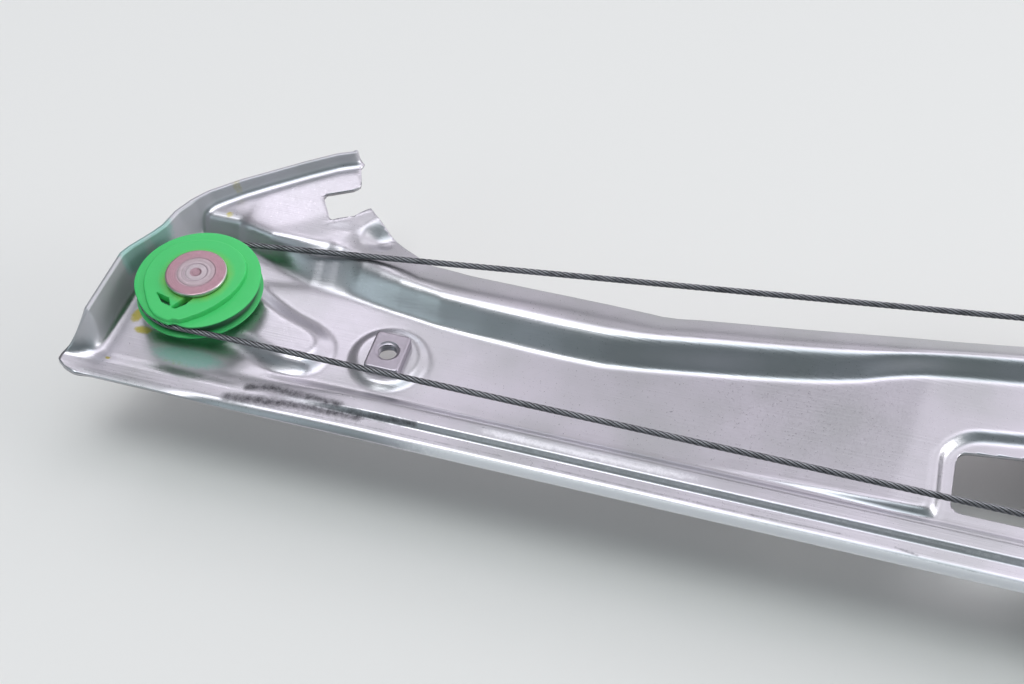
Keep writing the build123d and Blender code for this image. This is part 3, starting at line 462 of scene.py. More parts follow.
# %% Pulleys
def ringed(name, rings, count, centres, sharp=40):
    """A closed skin round an upright axis at each centre. A ring is a radius and a height, and
    either can be one number or a number for each of count angles."""
    angles = full_turn(count)
    radius, height = (np.array([ring[i] * np.ones(count) for ring in rings]) for i in (0, 1))
    skin = np.stack([radius * np.cos(angles), radius * np.sin(angles), height], -1).reshape(-1, 3)
    faces = grid_faces(len(rings), count, wrap_rows=True, wrap_columns=True)
    points = (np.array(centres, float)[:, None] + skin).reshape(-1, 3)
    starts = len(skin) * np.arange(len(centres))[:, None, None]
    piece = mesh_piece(name, points, (starts + faces).reshape(-1, 4))
    piece.data.set_sharp_from_angle(angle=math.radians(sharp))
    return piece


def around(table, count):
    """A table of (degrees, value), read at count even angles round the axis."""
    degrees, values = np.array(table, float).T
    return np.interp(np.linspace(0, 360, count, endpoint=False), degrees, values, period=360)


BORE_R, DISC_Z, POCKET_DEPTH = 4.06, 11.5, 2.4
DISC_EDGE = [
    (-160, 15.2), (-140, 15.3), (-128, 16.0), (-116, 17.0), (-104, 17.9), (-96, 18.1), (-92.5, 18.1),
    (-88, 17.5), (-83, 16.9), (-71, 15.2), (-53, 13.7), (-34, 12.9), (-13, 12.9), (4, 13.3), (17, 14.0),
    (35, 14.6), (75, 14.6), (117, 14.6), (151, 15.3)]
RIM_EDGE = [
    (-160, 18.0), (-140, 17.7), (-128, 17.8), (-118, 18.1), (-104, 18.1), (-96, 18.15), (-93, 18.15),
    (-90, 17.3), (-86, 17.2), (-81, 17.7), (-74, 18.1), (-60, 18.2), (60, 18.2), (170, 18.1)]
RIM_LEVEL = [
    (-170, 10.55), (-128, 10.6), (-104, 10.6), (-93, 10.5), (-90, 9.9), (-60, 9.75), (-20, 9.85),
    (10, 10.2), (40, 10.5), (100, 10.6), (170, 10.55)]
POCKETS = [[(-8.2, -9.0), (-4.2, -10.0), (-2.6, -12.6), (-5.6, -11.7)],
           [(-2.0, -12.9), (0.4, -8.4), (2.6, -8.0), (1.4, -10.9), (-0.6, -13.0)]]


def pulley(name, centre_x):
    """One pulley: hub, lower flange, cable groove, upper flange, raised disc and two pockets."""
    n = 360
    disc, rim, level = around(DISC_EDGE, n), around(RIM_EDGE, n), around(RIM_LEVEL, n)
    rings = [(BORE_R, 3.32), (8.8, 3.32), (9.4, 3.6), (10.0, 4.3), (10.6, 4.42), (17.0, 4.45), (17.7, 4.6),
             (18.1, 4.9), (18.2, 5.15), (18.12, 5.42), (17.8, 5.6), (17.0, 5.85), (16.2, 6.3), (15.85, 6.9),
             (15.7, 7.4), (15.7, 8.6), (15.9, 9.1)]
    roof = np.maximum(level - 1.15, 9.05)  # clear of the cable at every angle
    rings += [(rim - 1.0, roof), (rim - 0.3, np.maximum(level - 1.0, 9.0)), (rim, level - 0.72),
              (rim, level - 0.25), (rim - 0.1, level - 0.06), (rim - 0.3, level)]
    edge = np.minimum(disc, rim - 0.32)
    rings += [((rim - 0.3) * (1 - share) + (edge + 0.02) * share, level) for share in (0.35, 0.7, 1.0)]
    rings += [(edge - 0.06, level + 0.35 * (11.42 - level)), (edge - 0.1, level + 0.8 * (11.42 - level)),
              (edge - 0.22, 11.42), (edge - 0.5, DISC_Z)]
    angles = full_turn(n)
    for share in np.linspace(0, 1, 44)[1:]:
        radius = (edge - 0.5) * (1 - share) + BORE_R * share
        x, y = radius * np.cos(angles), radius * np.sin(angles)
        sink = np.zeros(n)
        for pocket in POCKETS:
            sink = np.maximum(sink, smoothstep(depth_in(x, y, pocket), -0.12, 0.25))
        rings.append((radius, DISC_Z - POCKET_DEPTH * sink))
    piece = ringed(name, rings, n, [(centre_x, 0, 0)])
    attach(piece, name.replace("_moulding", ""))
    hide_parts(name.replace("_moulding", ""))
    return piece


pulleys = [pulley("upper_pulley_moulding", 0.0), pulley("lower_pulley_moulding", SPAN)]

# %% [markdown]
# ## Rivets
# The shouldered rivet that each pulley turns on is turned from bar. The tool leaves fine rings on
# its head, a few of them deep enough to model, and the edge is broken by a small radius.


# %% Rivets
HEAD_Z = 13.0
TURNED_RINGS = [(3.1, 0.13, 0.05), (5.4, 0.12, 0.04), (4.2, 0.10, 0.03)]  # radius, half width, depth


def rivet(name, centre_x):
    """A turned rivet: shank, spread foot, head with rings cut in its face."""
    radii = np.linspace(8.45, 0.05, 64)
    face = HEAD_Z - 0.07 * (1 - smoothstep(radii, 1.2, 1.7))
    for at, width, depth in TURNED_RINGS:
        face -= depth * np.exp(-((radii - at) / width) ** 2)
    profile = [(0.05, 0.02), (4.4, 0.02), (6.4, 0.55), (6.95, 1.75), (6.9, 1.8), (3.99, 1.8), (3.99, 11.8),
               (8.6, 11.8), (8.78, 11.88), (8.85, 12.05), (8.85, 12.5), (8.8, 12.72), (8.66, 12.9),
               (8.45, 12.99)]
    piece = ringed(name, profile + list(zip(radii[1:], face[1:])), 120, [(centre_x, 0, 0)], sharp=30)
    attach(piece, "rail")
    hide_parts(name.replace("_turned", ""))
    return piece


rivets = [rivet("upper_pulley_rivet_turned", 0.0), rivet("lower_pulley_rivet_turned", SPAN)]

# %% [markdown]
# ## The wire rope
# The cable is 1.8 mm rope: six strands laid round a core, one turn in 12 mm. It is taut, so it
# runs straight from tangent to tangent and lies on each pulley as an arc. A strand is a helix round
# that line: centre + a * (cos(phase) * across + sin(phase) * up).

# %% Taut routes and strands
CABLE_Z, PITCH_R, DRUM_R, RUN_ON = 8.0, 16.9, 22.0, 9.8
CARRIER_X, ROUTE_STEP = 300.0, 0.55
STRANDS, LAY, STRAND_OUT, STRAND_R, CORE_R = 6, 12.0, 0.60, 0.30, 0.32
VALLEY_R, CROWN_R = 0.62, 0.86  # painted shade fills the lay between the strands, from CROWN_R in to VALLEY_R


def taut_route(pulley_x, side):
    """Carrier to pulley, round it, and back to the drum: even points, and their distance along it."""
    towards = math.atan2(DRUM[1], DRUM[0] - pulley_x)
    far = math.hypot(DRUM[0] - pulley_x, DRUM[1])
    spread = math.asin((DRUM_R - PITCH_R) / far)
    angle = towards - side * (math.pi / 2 + spread)
    tangent = np.array([math.cos(angle), math.sin(angle)])
    touch = np.array([pulley_x, 0]) + PITCH_R * tangent
    stop = DRUM + DRUM_R * tangent + side * RUN_ON * np.array([tangent[1], -tangent[0]])
    sweep = np.linspace(-math.pi / 2, angle - 2 * math.pi if side < 0 else angle, 100)
    arc = np.stack([pulley_x + PITCH_R * np.cos(sweep), PITCH_R * np.sin(sweep)], -1)
    line = np.concatenate([[[CARRIER_X, -PITCH_R]], arc, [touch], [stop]])
    gaps = np.hypot(*np.diff(line, axis=0).T)
    along = np.concatenate([[0], np.cumsum(gaps)])
    at = np.linspace(0, along[-1], int(along[-1] / ROUTE_STEP))
    return np.stack([np.interp(at, along, line[:, 0]), np.interp(at, along, line[:, 1]),
                     np.full(len(at), CABLE_Z)], -1), at


def tube_along(centres, across, up, radius, sides):
    """A tube as a ringed skin: a ring of points per centre, closed by a point at each end."""
    turn = full_turn(sides)[None, :, None]
    size = np.full((len(centres), 1, 1), radius)
    size[0] = size[-1] = 0.0
    return centres[:, None] + size * (np.cos(turn) * across[:, None] + np.sin(turn) * up[:, None])


def rope(name, pulley_x, side, replaced):
    """Six helical strands round a core along a taut route, as one object."""
    line, at = taut_route(pulley_x, side)
    line = np.concatenate([line[:1], line, line[-1:]])
    at = np.concatenate([at[:1], at, at[-1:]])
    ahead = np.gradient(line, axis=0)
    ahead[0], ahead[-1] = ahead[2], ahead[-3]
    ahead /= np.linalg.norm(ahead, axis=1)[:, None]
    up = np.tile([0.0, 0.0, 1.0], (len(line), 1))
    across = np.cross(up, ahead)
    points, faces, painted_lay_shades = [], [], []
    for k in range(STRANDS + 1):
        phase = (2 * math.pi * (at / LAY + k / STRANDS))[:, None]
        offset, radius, sides = (0.0, CORE_R, 6) if k == STRANDS else (STRAND_OUT, STRAND_R, 8)
        out = np.cos(phase) * across + np.sin(phase) * up
        strand = tube_along(line + offset * out, across, up, radius, sides)
        faces.append(grid_faces(len(line), sides, wrap_columns=True, start=sum(len(p) for p in points)))
        points.append(strand.reshape(-1, 3))
        # painted shade: how deep each point lies in the lay
        from_axis = np.linalg.norm(strand - line[:, None], axis=-1).ravel()
        painted_lay_shades.append(1 - smoothstep(from_axis, VALLEY_R, CROWN_R))
    piece = mesh_piece(name, np.concatenate(points), np.concatenate(faces))
    paint(piece, "painted_lay_shade", np.concatenate(painted_lay_shades))
    merge_close(piece, 0.002)
    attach(piece, "rail")
    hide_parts(replaced)
    print(name, "length in mm", round(float(at[-1]), 1))
    return piece


def paint(piece, name, values):
    """Stores one number per point as a named attribute that a material can read."""
    layer = piece.data.attributes.new(name, "FLOAT", "POINT")
    layer.data.foreach_set("value", np.asarray(values, np.float32))


def merge_close(piece, gap):
    """Welds points closer than gap millimetres, which closes tube ends and seams."""
    work = bmesh.new()
    work.from_mesh(piece.data)
    bmesh.ops.remove_doubles(work, verts=work.verts, dist=gap * MM)
    bmesh.ops.recalc_face_normals(work, faces=work.faces)
    work.to_mesh(piece.data)
    work.free()


ropes = [rope("raising_rope", 0.0, -1, "raising_cable"), rope("lowering_rope", SPAN, 1, "lowering_cable")]

# %% [markdown]
# ## Weld nuts
# A rectangular M6 weld nut stands at each fixing. Its mouth is countersunk and the thread shows in
# it: the wall's radius rises and falls once per turn and per millimetre of depth.

# %% Nuts with a thread
NUT_W, NUT_D, NUT_H = 10.2, 13.2, 2.8
THREAD_PITCH, THREAD_R, THREAD_DEPTH, CORNER_POWER = 1.0, 2.68, 0.40, 14


def nut_outline(angles, inset):
    """Radius of a rectangle with rounded corners at each angle: a superellipse of a high power."""
    across, deep = (np.abs(f(angles) / (size / 2 - inset)) for f, size in ((np.cos, NUT_W), (np.sin, NUT_D)))
    return (across ** CORNER_POWER + deep ** CORNER_POWER) ** (-1 / CORNER_POWER)


def threaded_nut(count):
    """Rings of one nut from its foot up the outside, over the top and down the thread."""
    angles = full_turn(count)
    outside = [(0.35, 0.0), (0.02, 0.3), (0.02, NUT_H - 0.5), (0.12, NUT_H - 0.22), (0.35, NUT_H - 0.06),
               (0.7, NUT_H)]
    rings = [(nut_outline(angles, inset), z) for inset, z in outside]
    rings += [(nut_outline(angles, 0.7) * (1 - share) + 3.5 * share, NUT_H) for share in (0.4, 0.8)]
    rings += [(3.45, NUT_H - 0.03), (3.1, NUT_H - 0.35)]
    for z in np.linspace(NUT_H - 0.5, 0.1, 34):
        wave = np.abs(((z / THREAD_PITCH + angles / (2 * math.pi)) % 1.0) - 0.5) * 2
        depth = THREAD_DEPTH * smoothstep(wave, 0.1, 0.9) * smoothstep(NUT_H - 0.4 - z, 0, 0.4)
        rings.append((THREAD_R + depth, z))
    return rings + [(2.6, 0.0)]


nuts = ringed("threaded_weld_nuts", threaded_nut(144), 144, [(x, y, foot) for x, y, _, foot in FIXINGS], 38)
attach(nuts, "rail")
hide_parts("fixing_nuts")
print("nuts", len(FIXINGS))

# %% [markdown]
# ## Materials from the real finishes
# Every material starts from what the surface is and how it was made. One function adds a node,
# sets its properties and fills its sockets, so a material reads as a short recipe. The maths nodes
# take their sockets in order: for Map Range, a value, the range it comes from, the one it goes to.


# %% Material helpers
def srgb(text):
    """A hex colour as four linear values: c / 12.92 when dark, ((c + 0.055) / 1.055) ** 2.4 above."""
    c = np.array([int(text[i:i + 2], 16) / 255 for i in (0, 2, 4)])
    linear = np.where(c <= 0.04045, c / 12.92, ((c + 0.055) / 1.055) ** 2.4)
    return (*linear.tolist(), 1.0)


def fill(tree, node, sockets):
    """Fills sockets, by name or in order, with numbers and colours, or links them from a socket
    or a node's first output."""
    for key, value in sockets.items() if isinstance(sockets, dict) else enumerate(sockets):
        if isinstance(value, bpy.types.Node):
            value = value.outputs[0]
        if isinstance(value, bpy.types.NodeSocket):
            tree.links.new(value, node.inputs[key])
        else:
            node.inputs[key].default_value = value


def add(tree, kind, sockets=(), **settings):
    """Adds a node, sets its properties and fills its sockets."""
    node = tree.nodes.new("ShaderNode" + kind)
    for key, value in settings.items():
        setattr(node, key, value)
    fill(tree, node, sockets)
    return node


def finish_material(name, colour, metallic, roughness, **extra):
    """A new material with a Principled shader and rail coordinates in millimetres."""
    material = bpy.data.materials.new(name)
    material.use_nodes = True
    tree = material.node_tree
    shader = tree.nodes["Principled BSDF"]
    fill(tree, shader, {"Base Color": srgb(colour), "Metallic": metallic, "Roughness": roughness})
    fill(tree, shader, {key.replace("_", " "): value for key, value in extra.items()})
    where = add(tree, "TexCoord").outputs["Object"]
    shift = tuple((-ORIGIN / MM).tolist())
    rail_mm = add(tree, "Mapping", {"Vector": where, "Scale": (1 / MM,) * 3, "Location": shift})
    return material, tree, shader, rail_mm


def dress(piece, material):
    """Gives a piece, or a node of the frame, this material in every slot."""
    if not piece.material_slots:
        piece.data.materials.append(material)
    for slot in piece.material_slots:
        slot.material = material


# %% [markdown]
# ### Zinc-plated steel sheet
# Electroplated zinc with a clear passivation is a pale, slightly warm grey metal. Rolling leaves it
# satin, so it blurs what it mirrors; drawing over the die polishes the bends. Its colour hardly
# varies, so the life is in the roughness, in faint drawing marks along the rail, and in the dirt:
# grease that the slider has spread on the guide edge and darker specks caught in it. The same maps
# also paint light: thin lines of painted shade in the creases, a painted highlight in the white of
# the rolled edge where the slider has worn it, and a pale teal painted reflection of the pulley.


# %% Maps of dirt and painted light, and the sheet's material
def soft_patch(x, y, cx, cy, rx, ry):
    """1 in the middle of an ellipse, falling smoothly to 0 at its rim."""
    return 1 - smoothstep(np.hypot((x - cx) / rx, (y - cy) / ry), 0.35, 1.0)


def smear(x, y, line, width):
    """A smear along a line: full on it, fading over the width."""
    return 1 - smoothstep(distance_to_line(x, y, line), 0.0, width)


def grease_and_crease_shade_map(p):
    """Old grease as two dark smears on the guide edge near the pulley and as spots, with thin dark lines of
    painted shade in the creases.
    """
    x, y = p[:, 0], p[:, 1]
    lines = [([(25, -26.0), (31, -24.8), (40, -25.4), (52, -26.4)], 3.6, 1.0),  # line, width, strength
             ([(20.5, -31.0), (28, -29.9), (41, -28.7), (58, -28.0)], 4.3, 1.0),
             ([(50, -28.4), (62, -27.5), (74, -26.9)], 2.4, 0.95),
             # the next three thin lines, at y = -27.5 and -30.5, are painted shade in the creases
             ([(30, -31.2), (60, -30.6), (100, -30.2)], 0.9, 0.7),
             ([(70, -27.6), (140, -27.5), (220, -27.4)], 0.7, 0.75),
             ([(110, -30.6), (160, -30.8), (190, -30.2)], 0.9, 0.75),
             ([(108, -23.6), (122, -24.0), (138, -24.2)], 2.2, 0.62),
             ([(-22, -32.6), (-8, -32.9)], 0.8, 0.8), ([(203, -30.5), (209, -31.5)], 1.2, 0.8)]
    spots = [(72, -23.6, 0.9), (92, -23.4, 0.8), (-2.5, 53, 0.9), (3.6, 57.6, 0.8), (128, -25.4, 1.0),
             (140, -3.0, 0.8), (152, 1.0, 0.8), (109, 4.0, 0.7)]
    marks = [strength * smear(x, y, line, width) for line, width, strength in lines]
    marks += [soft_patch(x, y, cx, cy, r, r) for cx, cy, r in spots]
    return np.clip(np.maximum.reduce(marks), 0, 1)


def rub_and_painted_highlight_map(p):
    """Near-white on the rolled edge, the step and part of the shelf: zinc rubbed dull by the slider, and a
    painted highlight.
    """
    x, y = p[:, 0], p[:, 1]
    edge = 0.95 * smoothstep(x, 50, 90) * smoothstep(-y, 31.6, 32.6) * (1 - smoothstep(x, 415, 440))
    shelf = 0.8 * smoothstep(x, 80, 100) * (1 - smoothstep(x, 140, 165))
    shelf = shelf * smear(x, y, [(60, -24.6), (170, -24.6)], 3.0)
    step = 0.55 * smoothstep(x, 60, 90) * smear(x, y, [(60, -27.2), (480, -27.2)], 1.3)
    return np.clip(np.maximum.reduce([edge, shelf, step]), 0, 1)


def painted_teal_reflection_map(p):
    """A painted reflection of the green pulley: pale teal below the pulley and on the wall beside it."""
    x, y, z = p.T
    below = soft_patch(x, y, 4, -20.5, 17, 5.5)
    wall = smoothstep(z, 2, 6) * (soft_patch(x, y, -20, 15, 7, 9) + soft_patch(x, y, -22, 4, 5, 7))
    return np.clip(np.maximum(0.9 * below, wall), 0, 1)


def yellow_map(p):
    """Yellow-brown grease at the pulley's rim and spots of it on the arm."""
    x, y = p[:, 0], p[:, 1]
    spots = [(-12.5, -14.5, 4.5, 2.4, 1.0), (-16.5, -9.8, 3.0, 4.5, 0.95), (-17.5, -26.9, 1.5, 0.9, 0.95),
             (-3.9, 38.2, 3.0, 2.4, 0.62), (-3.2, 29.6, 2.0, 1.8, 0.8), (-14.5, 28, 1.9, 2.4, 0.75),
             (2, -23.2, 8, 2.2, 0.5)]
    return np.clip(sum(s * soft_patch(x, y, cx, cy, rx, ry) for cx, cy, rx, ry, s in spots), 0, 1)


def zinc_sheet(name):
    """Zinc-plated sheet: satin metal, drawing marks along X, and dirt and painted light where the maps say.
    """
    material, tree, shader, mm = finish_material(name, "C9C5CC", 1.0, 0.34)
    broad = add(tree, "TexNoise", {"Vector": mm, "Scale": 0.035, "Detail": 4.0})
    fine = add(tree, "TexNoise", {"Vector": mm, "Scale": 1.6, "Detail": 5.0, "Roughness": 0.7})
    along_x = add(tree, "Mapping", {"Vector": mm, "Scale": (0.03, 2.2, 1.2)})
    marks = add(tree, "TexNoise", {"Vector": along_x, "Scale": 1.0, "Detail": 3.0})
    colour = add(tree, "ValToRGB", {"Fac": broad})
    for stop, tint, at in zip(colour.color_ramp.elements, ("BDBDC0", "CCC9D0"), (0.35, 0.62)):
        stop.color, stop.position = srgb(tint), at
    roughness = add(tree, "MapRange", [fine, 0.3, 0.7, 0.26, 0.36])
    breakup = add(tree, "TexNoise", {"Vector": mm, "Scale": 0.62, "Detail": 8.0, "Roughness": 0.78})
    # pale teal is a painted reflection, near-white is wear and a painted highlight, dark grey is grease and
    # painted crease shade
    for attribute, tint, rough_to, low, high in (
            ("painted_teal_reflection", "9FC2BC", 0.34, 0.91, 1.39), ("yellow", "B9AE62", 0.45, 0.96, 1.44),
            ("rub", "F1EFF3", 0.5, 0.94, 1.34), ("grease_and_crease_shade", "4E4C51", 0.55, 1.02, 1.62)):
        amount = add(tree, "Attribute", attribute_name=attribute).outputs["Fac"]
        summed = add(tree, "Math", [amount, breakup], operation="ADD")
        share = add(tree, "MapRange", [summed, low, high])
        colour = add(tree, "Mix", {0: share, 6: colour, 7: srgb(tint)}, data_type="RGBA").outputs[2]
        roughness = add(tree, "MapRange", [share, 0, 1, roughness, rough_to])
    drawn = add(tree, "Attribute", attribute_name="drawn").outputs["Fac"]
    grain = add(tree, "Bump", {"Height": marks, "Strength": 0.10, "Distance": 0.0003})
    fill(tree, shader, {
        "Base Color": colour,
        "Metallic": add(tree, "MapRange", [drawn, 0, 1, 1.0, 0.42]),
        "Roughness": add(tree, "MapRange", [drawn, 0, 1, roughness, 0.46]),
        "Normal": add(tree, "Bump", {"Height": fine, "Strength": 0.03, "Distance": 0.0002, "Normal": grain})})
    return material


at_mm = points_of(rail)
upward = np.array([v.normal[2] for v in rail.data.vertices])
maps = {"grease_and_crease_shade": grease_and_crease_shade_map, "painted_teal_reflection": painted_teal_reflection_map, "yellow": yellow_map, "rub": rub_and_painted_highlight_map}
# real dirt and wear together with painted shade, a painted highlight and a painted reflection
dirt_and_painted_light = {name: surface_map(at_mm) for name, surface_map in maps.items()}
dirt_and_painted_light["drawn"] = np.maximum.reduce([1 - smoothstep(upward, 0.30, 0.74), 0.8 * dirt_and_painted_light["painted_teal_reflection"], dirt_and_painted_light["rub"]])
for name, amounts in dirt_and_painted_light.items():
    paint(rail, name, amounts)
dress(rail, zinc_sheet("zinc_plated_sheet"))
print("dirt maps", list(dirt_and_painted_light))

# %% [markdown]
# ### Plastics
# Mouldings get their look from the mould: a soft sheen, a fine spark-eroded grain and slight
# unevenness. Acetal also lets light a little way in, so its shadows keep their colour.


# %% Plastic recipe
def surfaced(tree, shader, tones, patches, uneven, roughness, marks, strength):
    """Two close tones in patches, roughness that follows a pattern, and fine marks in the bump."""
    tone = add(tree, "Mix", {0: patches, 6: srgb(tones[0]), 7: srgb(tones[1])}, data_type="RGBA").outputs[2]
    rough = add(tree, "MapRange", [uneven, 0.3, 0.7, roughness[0], roughness[1]])
    bump = add(tree, "Bump", {"Height": marks, "Strength": strength, "Distance": 0.0002})
    fill(tree, shader, {"Base Color": tone, "Roughness": rough, "Normal": bump})
    return tone


def moulded(name, colour, shade, roughness, grain_per_mm, grain, depth_mm=0.0, **extra):
    """A moulded plastic: two close tones in broad patches, grain in the bump, uneven sheen."""
    material, tree, shader, mm = finish_material(name, colour, 0.0, roughness, **extra)
    broad = add(tree, "TexNoise", {"Vector": mm, "Scale": 0.09, "Detail": 5.0, "Roughness": 0.6})
    fine = add(tree, "TexNoise", {"Vector": mm, "Scale": grain_per_mm, "Detail": 3.0})
    sheen = (roughness - 0.07, roughness + 0.08)
    tone = surfaced(tree, shader, (colour, shade), broad, broad, sheen, fine, grain)
    if depth_mm:
        fill(tree, shader, {
            "Subsurface Weight": 0.25, "Subsurface Radius": (depth_mm,) * 3, "Subsurface Scale": MM})
    return material, tree, shader, mm, tone


def tinted(tree, shader, before, share, tint):
    """Mixes a colour over what feeds the shader's colour, by a share from 0 to 1."""
    mixed = add(tree, "Mix", {0: share, 6: before, 7: srgb(tint)}, data_type="RGBA").outputs[2]
    fill(tree, shader, {"Base Color": mixed})
    return mixed


def distance_from_axis(tree, mm):
    """Distance in plan from the nearer pulley's axis: x is wrapped by the span first."""
    x, y, _ = add(tree, "SeparateXYZ", [mm]).outputs
    wrapped = add(tree, "Math", [x, SPAN / 2, -SPAN / 2], operation="WRAP")
    flat = add(tree, "CombineXYZ", [wrapped, y])
    return add(tree, "VectorMath", [flat], operation="LENGTH").outputs["Value"]


# Acetal, dyed green: translucent at its thin edges, with yellow grease round the rivet, and painted shade in
# dark green on every face about 5.7 to 9.7 mm up: the cable groove and the pocket floors.
acetal, tree, shader, mm, tone = moulded(
    "green_acetal_moulding", "3FC468", "4CCB74", 0.40, 2.2, 0.10, 1.6, Specular_IOR_Level=0.42)
smudge = add(tree, "TexNoise", {"Vector": mm, "Scale": 0.35, "Detail": 4.0})
ring = add(tree, "MapRange", [distance_from_axis(tree, mm), 8.9, 11.2, 0.85, 0.0])
near_rivet = add(tree, "Math", [ring, smudge], operation="MULTIPLY")
tone = tinted(tree, shader, tone, near_rivet, "8FB83A")
# painted shade: dark green by height, over the groove and the pocket floors
height_mm = add(tree, "SeparateXYZ", [mm]).outputs["Z"]
from_groove = add(tree, "Math", [height_mm, 7.7], operation="SUBTRACT")
groove_gap = add(tree, "Math", [from_groove], operation="ABSOLUTE")
painted_groove_shade = add(tree, "MapRange", [groove_gap, 1.7, 2.0, 0.9, 0.0])
tinted(tree, shader, tone, painted_groove_shade, "1F4A33")
for piece in pulleys:
    dress(piece, acetal)
print("material", acetal.name)

# %% [markdown]
# ### Turned and drawn metals
# One recipe serves the other metals: colour and roughness from the metal and its finish, with the
# direction that a tool or die leaves in it set by stretching the grain.


# %% Metal recipe
def metal(name, colour, shade, roughness, stretch=(1.0, 1.0, 1.0), grain=0.12, per_mm=1.5, metallic=1.0):
    """A metal surface: two tones, roughness that follows its marks, grain stretched along them."""
    material, tree, shader, mm = finish_material(name, colour, metallic, roughness)
    at = add(tree, "Mapping", {"Vector": mm, "Scale": tuple(per_mm * s for s in stretch)})
    marks = add(tree, "TexNoise", {"Vector": at, "Scale": 1.0, "Detail": 5.0})
    broad = add(tree, "TexNoise", {"Vector": mm, "Scale": 0.12, "Detail": 4.0})
    sheen = (roughness - 0.08, roughness + 0.1)
    tone = surfaced(tree, shader, (colour, shade), broad, marks, sheen, marks, grain)
    return material, tree, shader, mm, tone


# Turned steel: the tool's rings are in the bump, and light and dark pinkish rings painted into the colour by
# radius are painted reflections of them, with a painted highlight on the head's edge and the middle painted
# darker.
turned_steel, tree, shader, mm, _ = metal("turned_rivet_steel", "B3A0A8", "A8949D", 0.36, grain=0.05)
radius_mm = distance_from_axis(tree, mm)
comb = add(tree, "Math", [radius_mm, 0.28], operation="PINGPONG")
lathe = add(tree, "Bump", {"Height": comb, "Strength": 0.35, "Distance": 0.00006})
painted_ring_reflections = add(tree, "ValToRGB", {"Fac": add(tree, "MapRange", [radius_mm, 0, 9.0])})
painted_ring_reflections.color_ramp.elements[0].color = srgb("A98B93")
painted_ring_reflections.color_ramp.elements[1].color = srgb("CFC9CA")
# painted reflections of the rings, and a painted highlight near the edge
for at, tint in ((0.17, "A38890"), (0.21, "BEB4B8"), (0.34, "B9AFB3"), (0.37, "A1949A"), (0.42, "BAAEB2"),
                 (0.58, "B2A2A7"), (0.62, "A28B92"), (0.68, "B08E97"), (0.94, "AF8C96"), (0.97, "D2CCCC")):
    painted_ring_reflections.color_ramp.elements.new(at).color = srgb(tint)
fill(tree, shader, {"Base Color": painted_ring_reflections, "Normal": lathe})
for piece in rivets:
    dress(piece, turned_steel)

# Drawn wire: bright underneath, with patches of grease in dark grey and painted shade, near-black, in the lay
# between the strands.
wire, tree, shader, mm, tone = metal("greased_wire_rope", "98989C", "7B7B80", 0.36, grain=0.2, per_mm=3)
oil = add(tree, "TexNoise", {"Vector": mm, "Scale": 0.25, "Detail": 6.0, "Roughness": 0.7})
oil_share = add(tree, "MapRange", [oil, 0.50, 0.78])
tone = tinted(tree, shader, tone, oil_share, "4A4A4D")
# painted shade in the lay between the strands
tinted(tree, shader, tone, add(tree, "Attribute", attribute_name="painted_lay_shade").outputs["Fac"], "1C1C1F")
for piece in ropes:
    dress(piece, wire)

# Weld nut: cold-formed steel under the same zinc, duller than the sheet.
dress(nuts, metal("weld_nut_zinc", "B4AEB6", "9E98A2", 0.38, grain=0.15, per_mm=1.2)[0])
print("materials", turned_steel.name, wire.name)

# %% [markdown]
# ### The pieces that come straight from the engineering model
# The drive and the carrier keep their modelled shapes. Each gets the finish that its maker would
# give it, from one table.

# %% Finishes of the drive and carrier
MOULDINGS = {
    "drum_housing gear_housing gear_cover connector_housing":
        ("black_glass_filled_nylon", "1D1E20", "26272A", 0.46, 1.8, 0.35),
    "brush_holder": ("black_phenolic", "231F1D", "2C2826", 0.38, 2.5, 0.2),
    "carrier_slider": ("natural_acetal_slider", "DEDACB", "D2CDBB", 0.42, 2.0, 0.12, 2.0),
    "cable_drum": ("acetal_drum_moulding", "D9D6CC", "CFCBBE", 0.4, 2.0, 0.12, 2.0),
    "worm_wheel": ("acetal_wheel_moulding", "E4E1D6", "D8D4C6", 0.38, 2.0, 0.1, 2.0),
    "drive_dog": ("grey_nylon_dog", "6E7174", "7A7D80", 0.44, 2.0, 0.2),
    "glass_pads": ("black_rubber_pad", "161617", "1E1E1F", 0.78, 2.8, 0.5),
    "rubber_damper": ("black_rubber_damper", "171718", "202021", 0.75, 2.8, 0.45),
    "lower_stop": ("black_rubber_stop", "18181A", "222224", 0.72, 2.4, 0.4),
    "field_magnets": ("sintered_ferrite", "3B3C3F", "303134", 0.72, 4.0, 0.5),
}
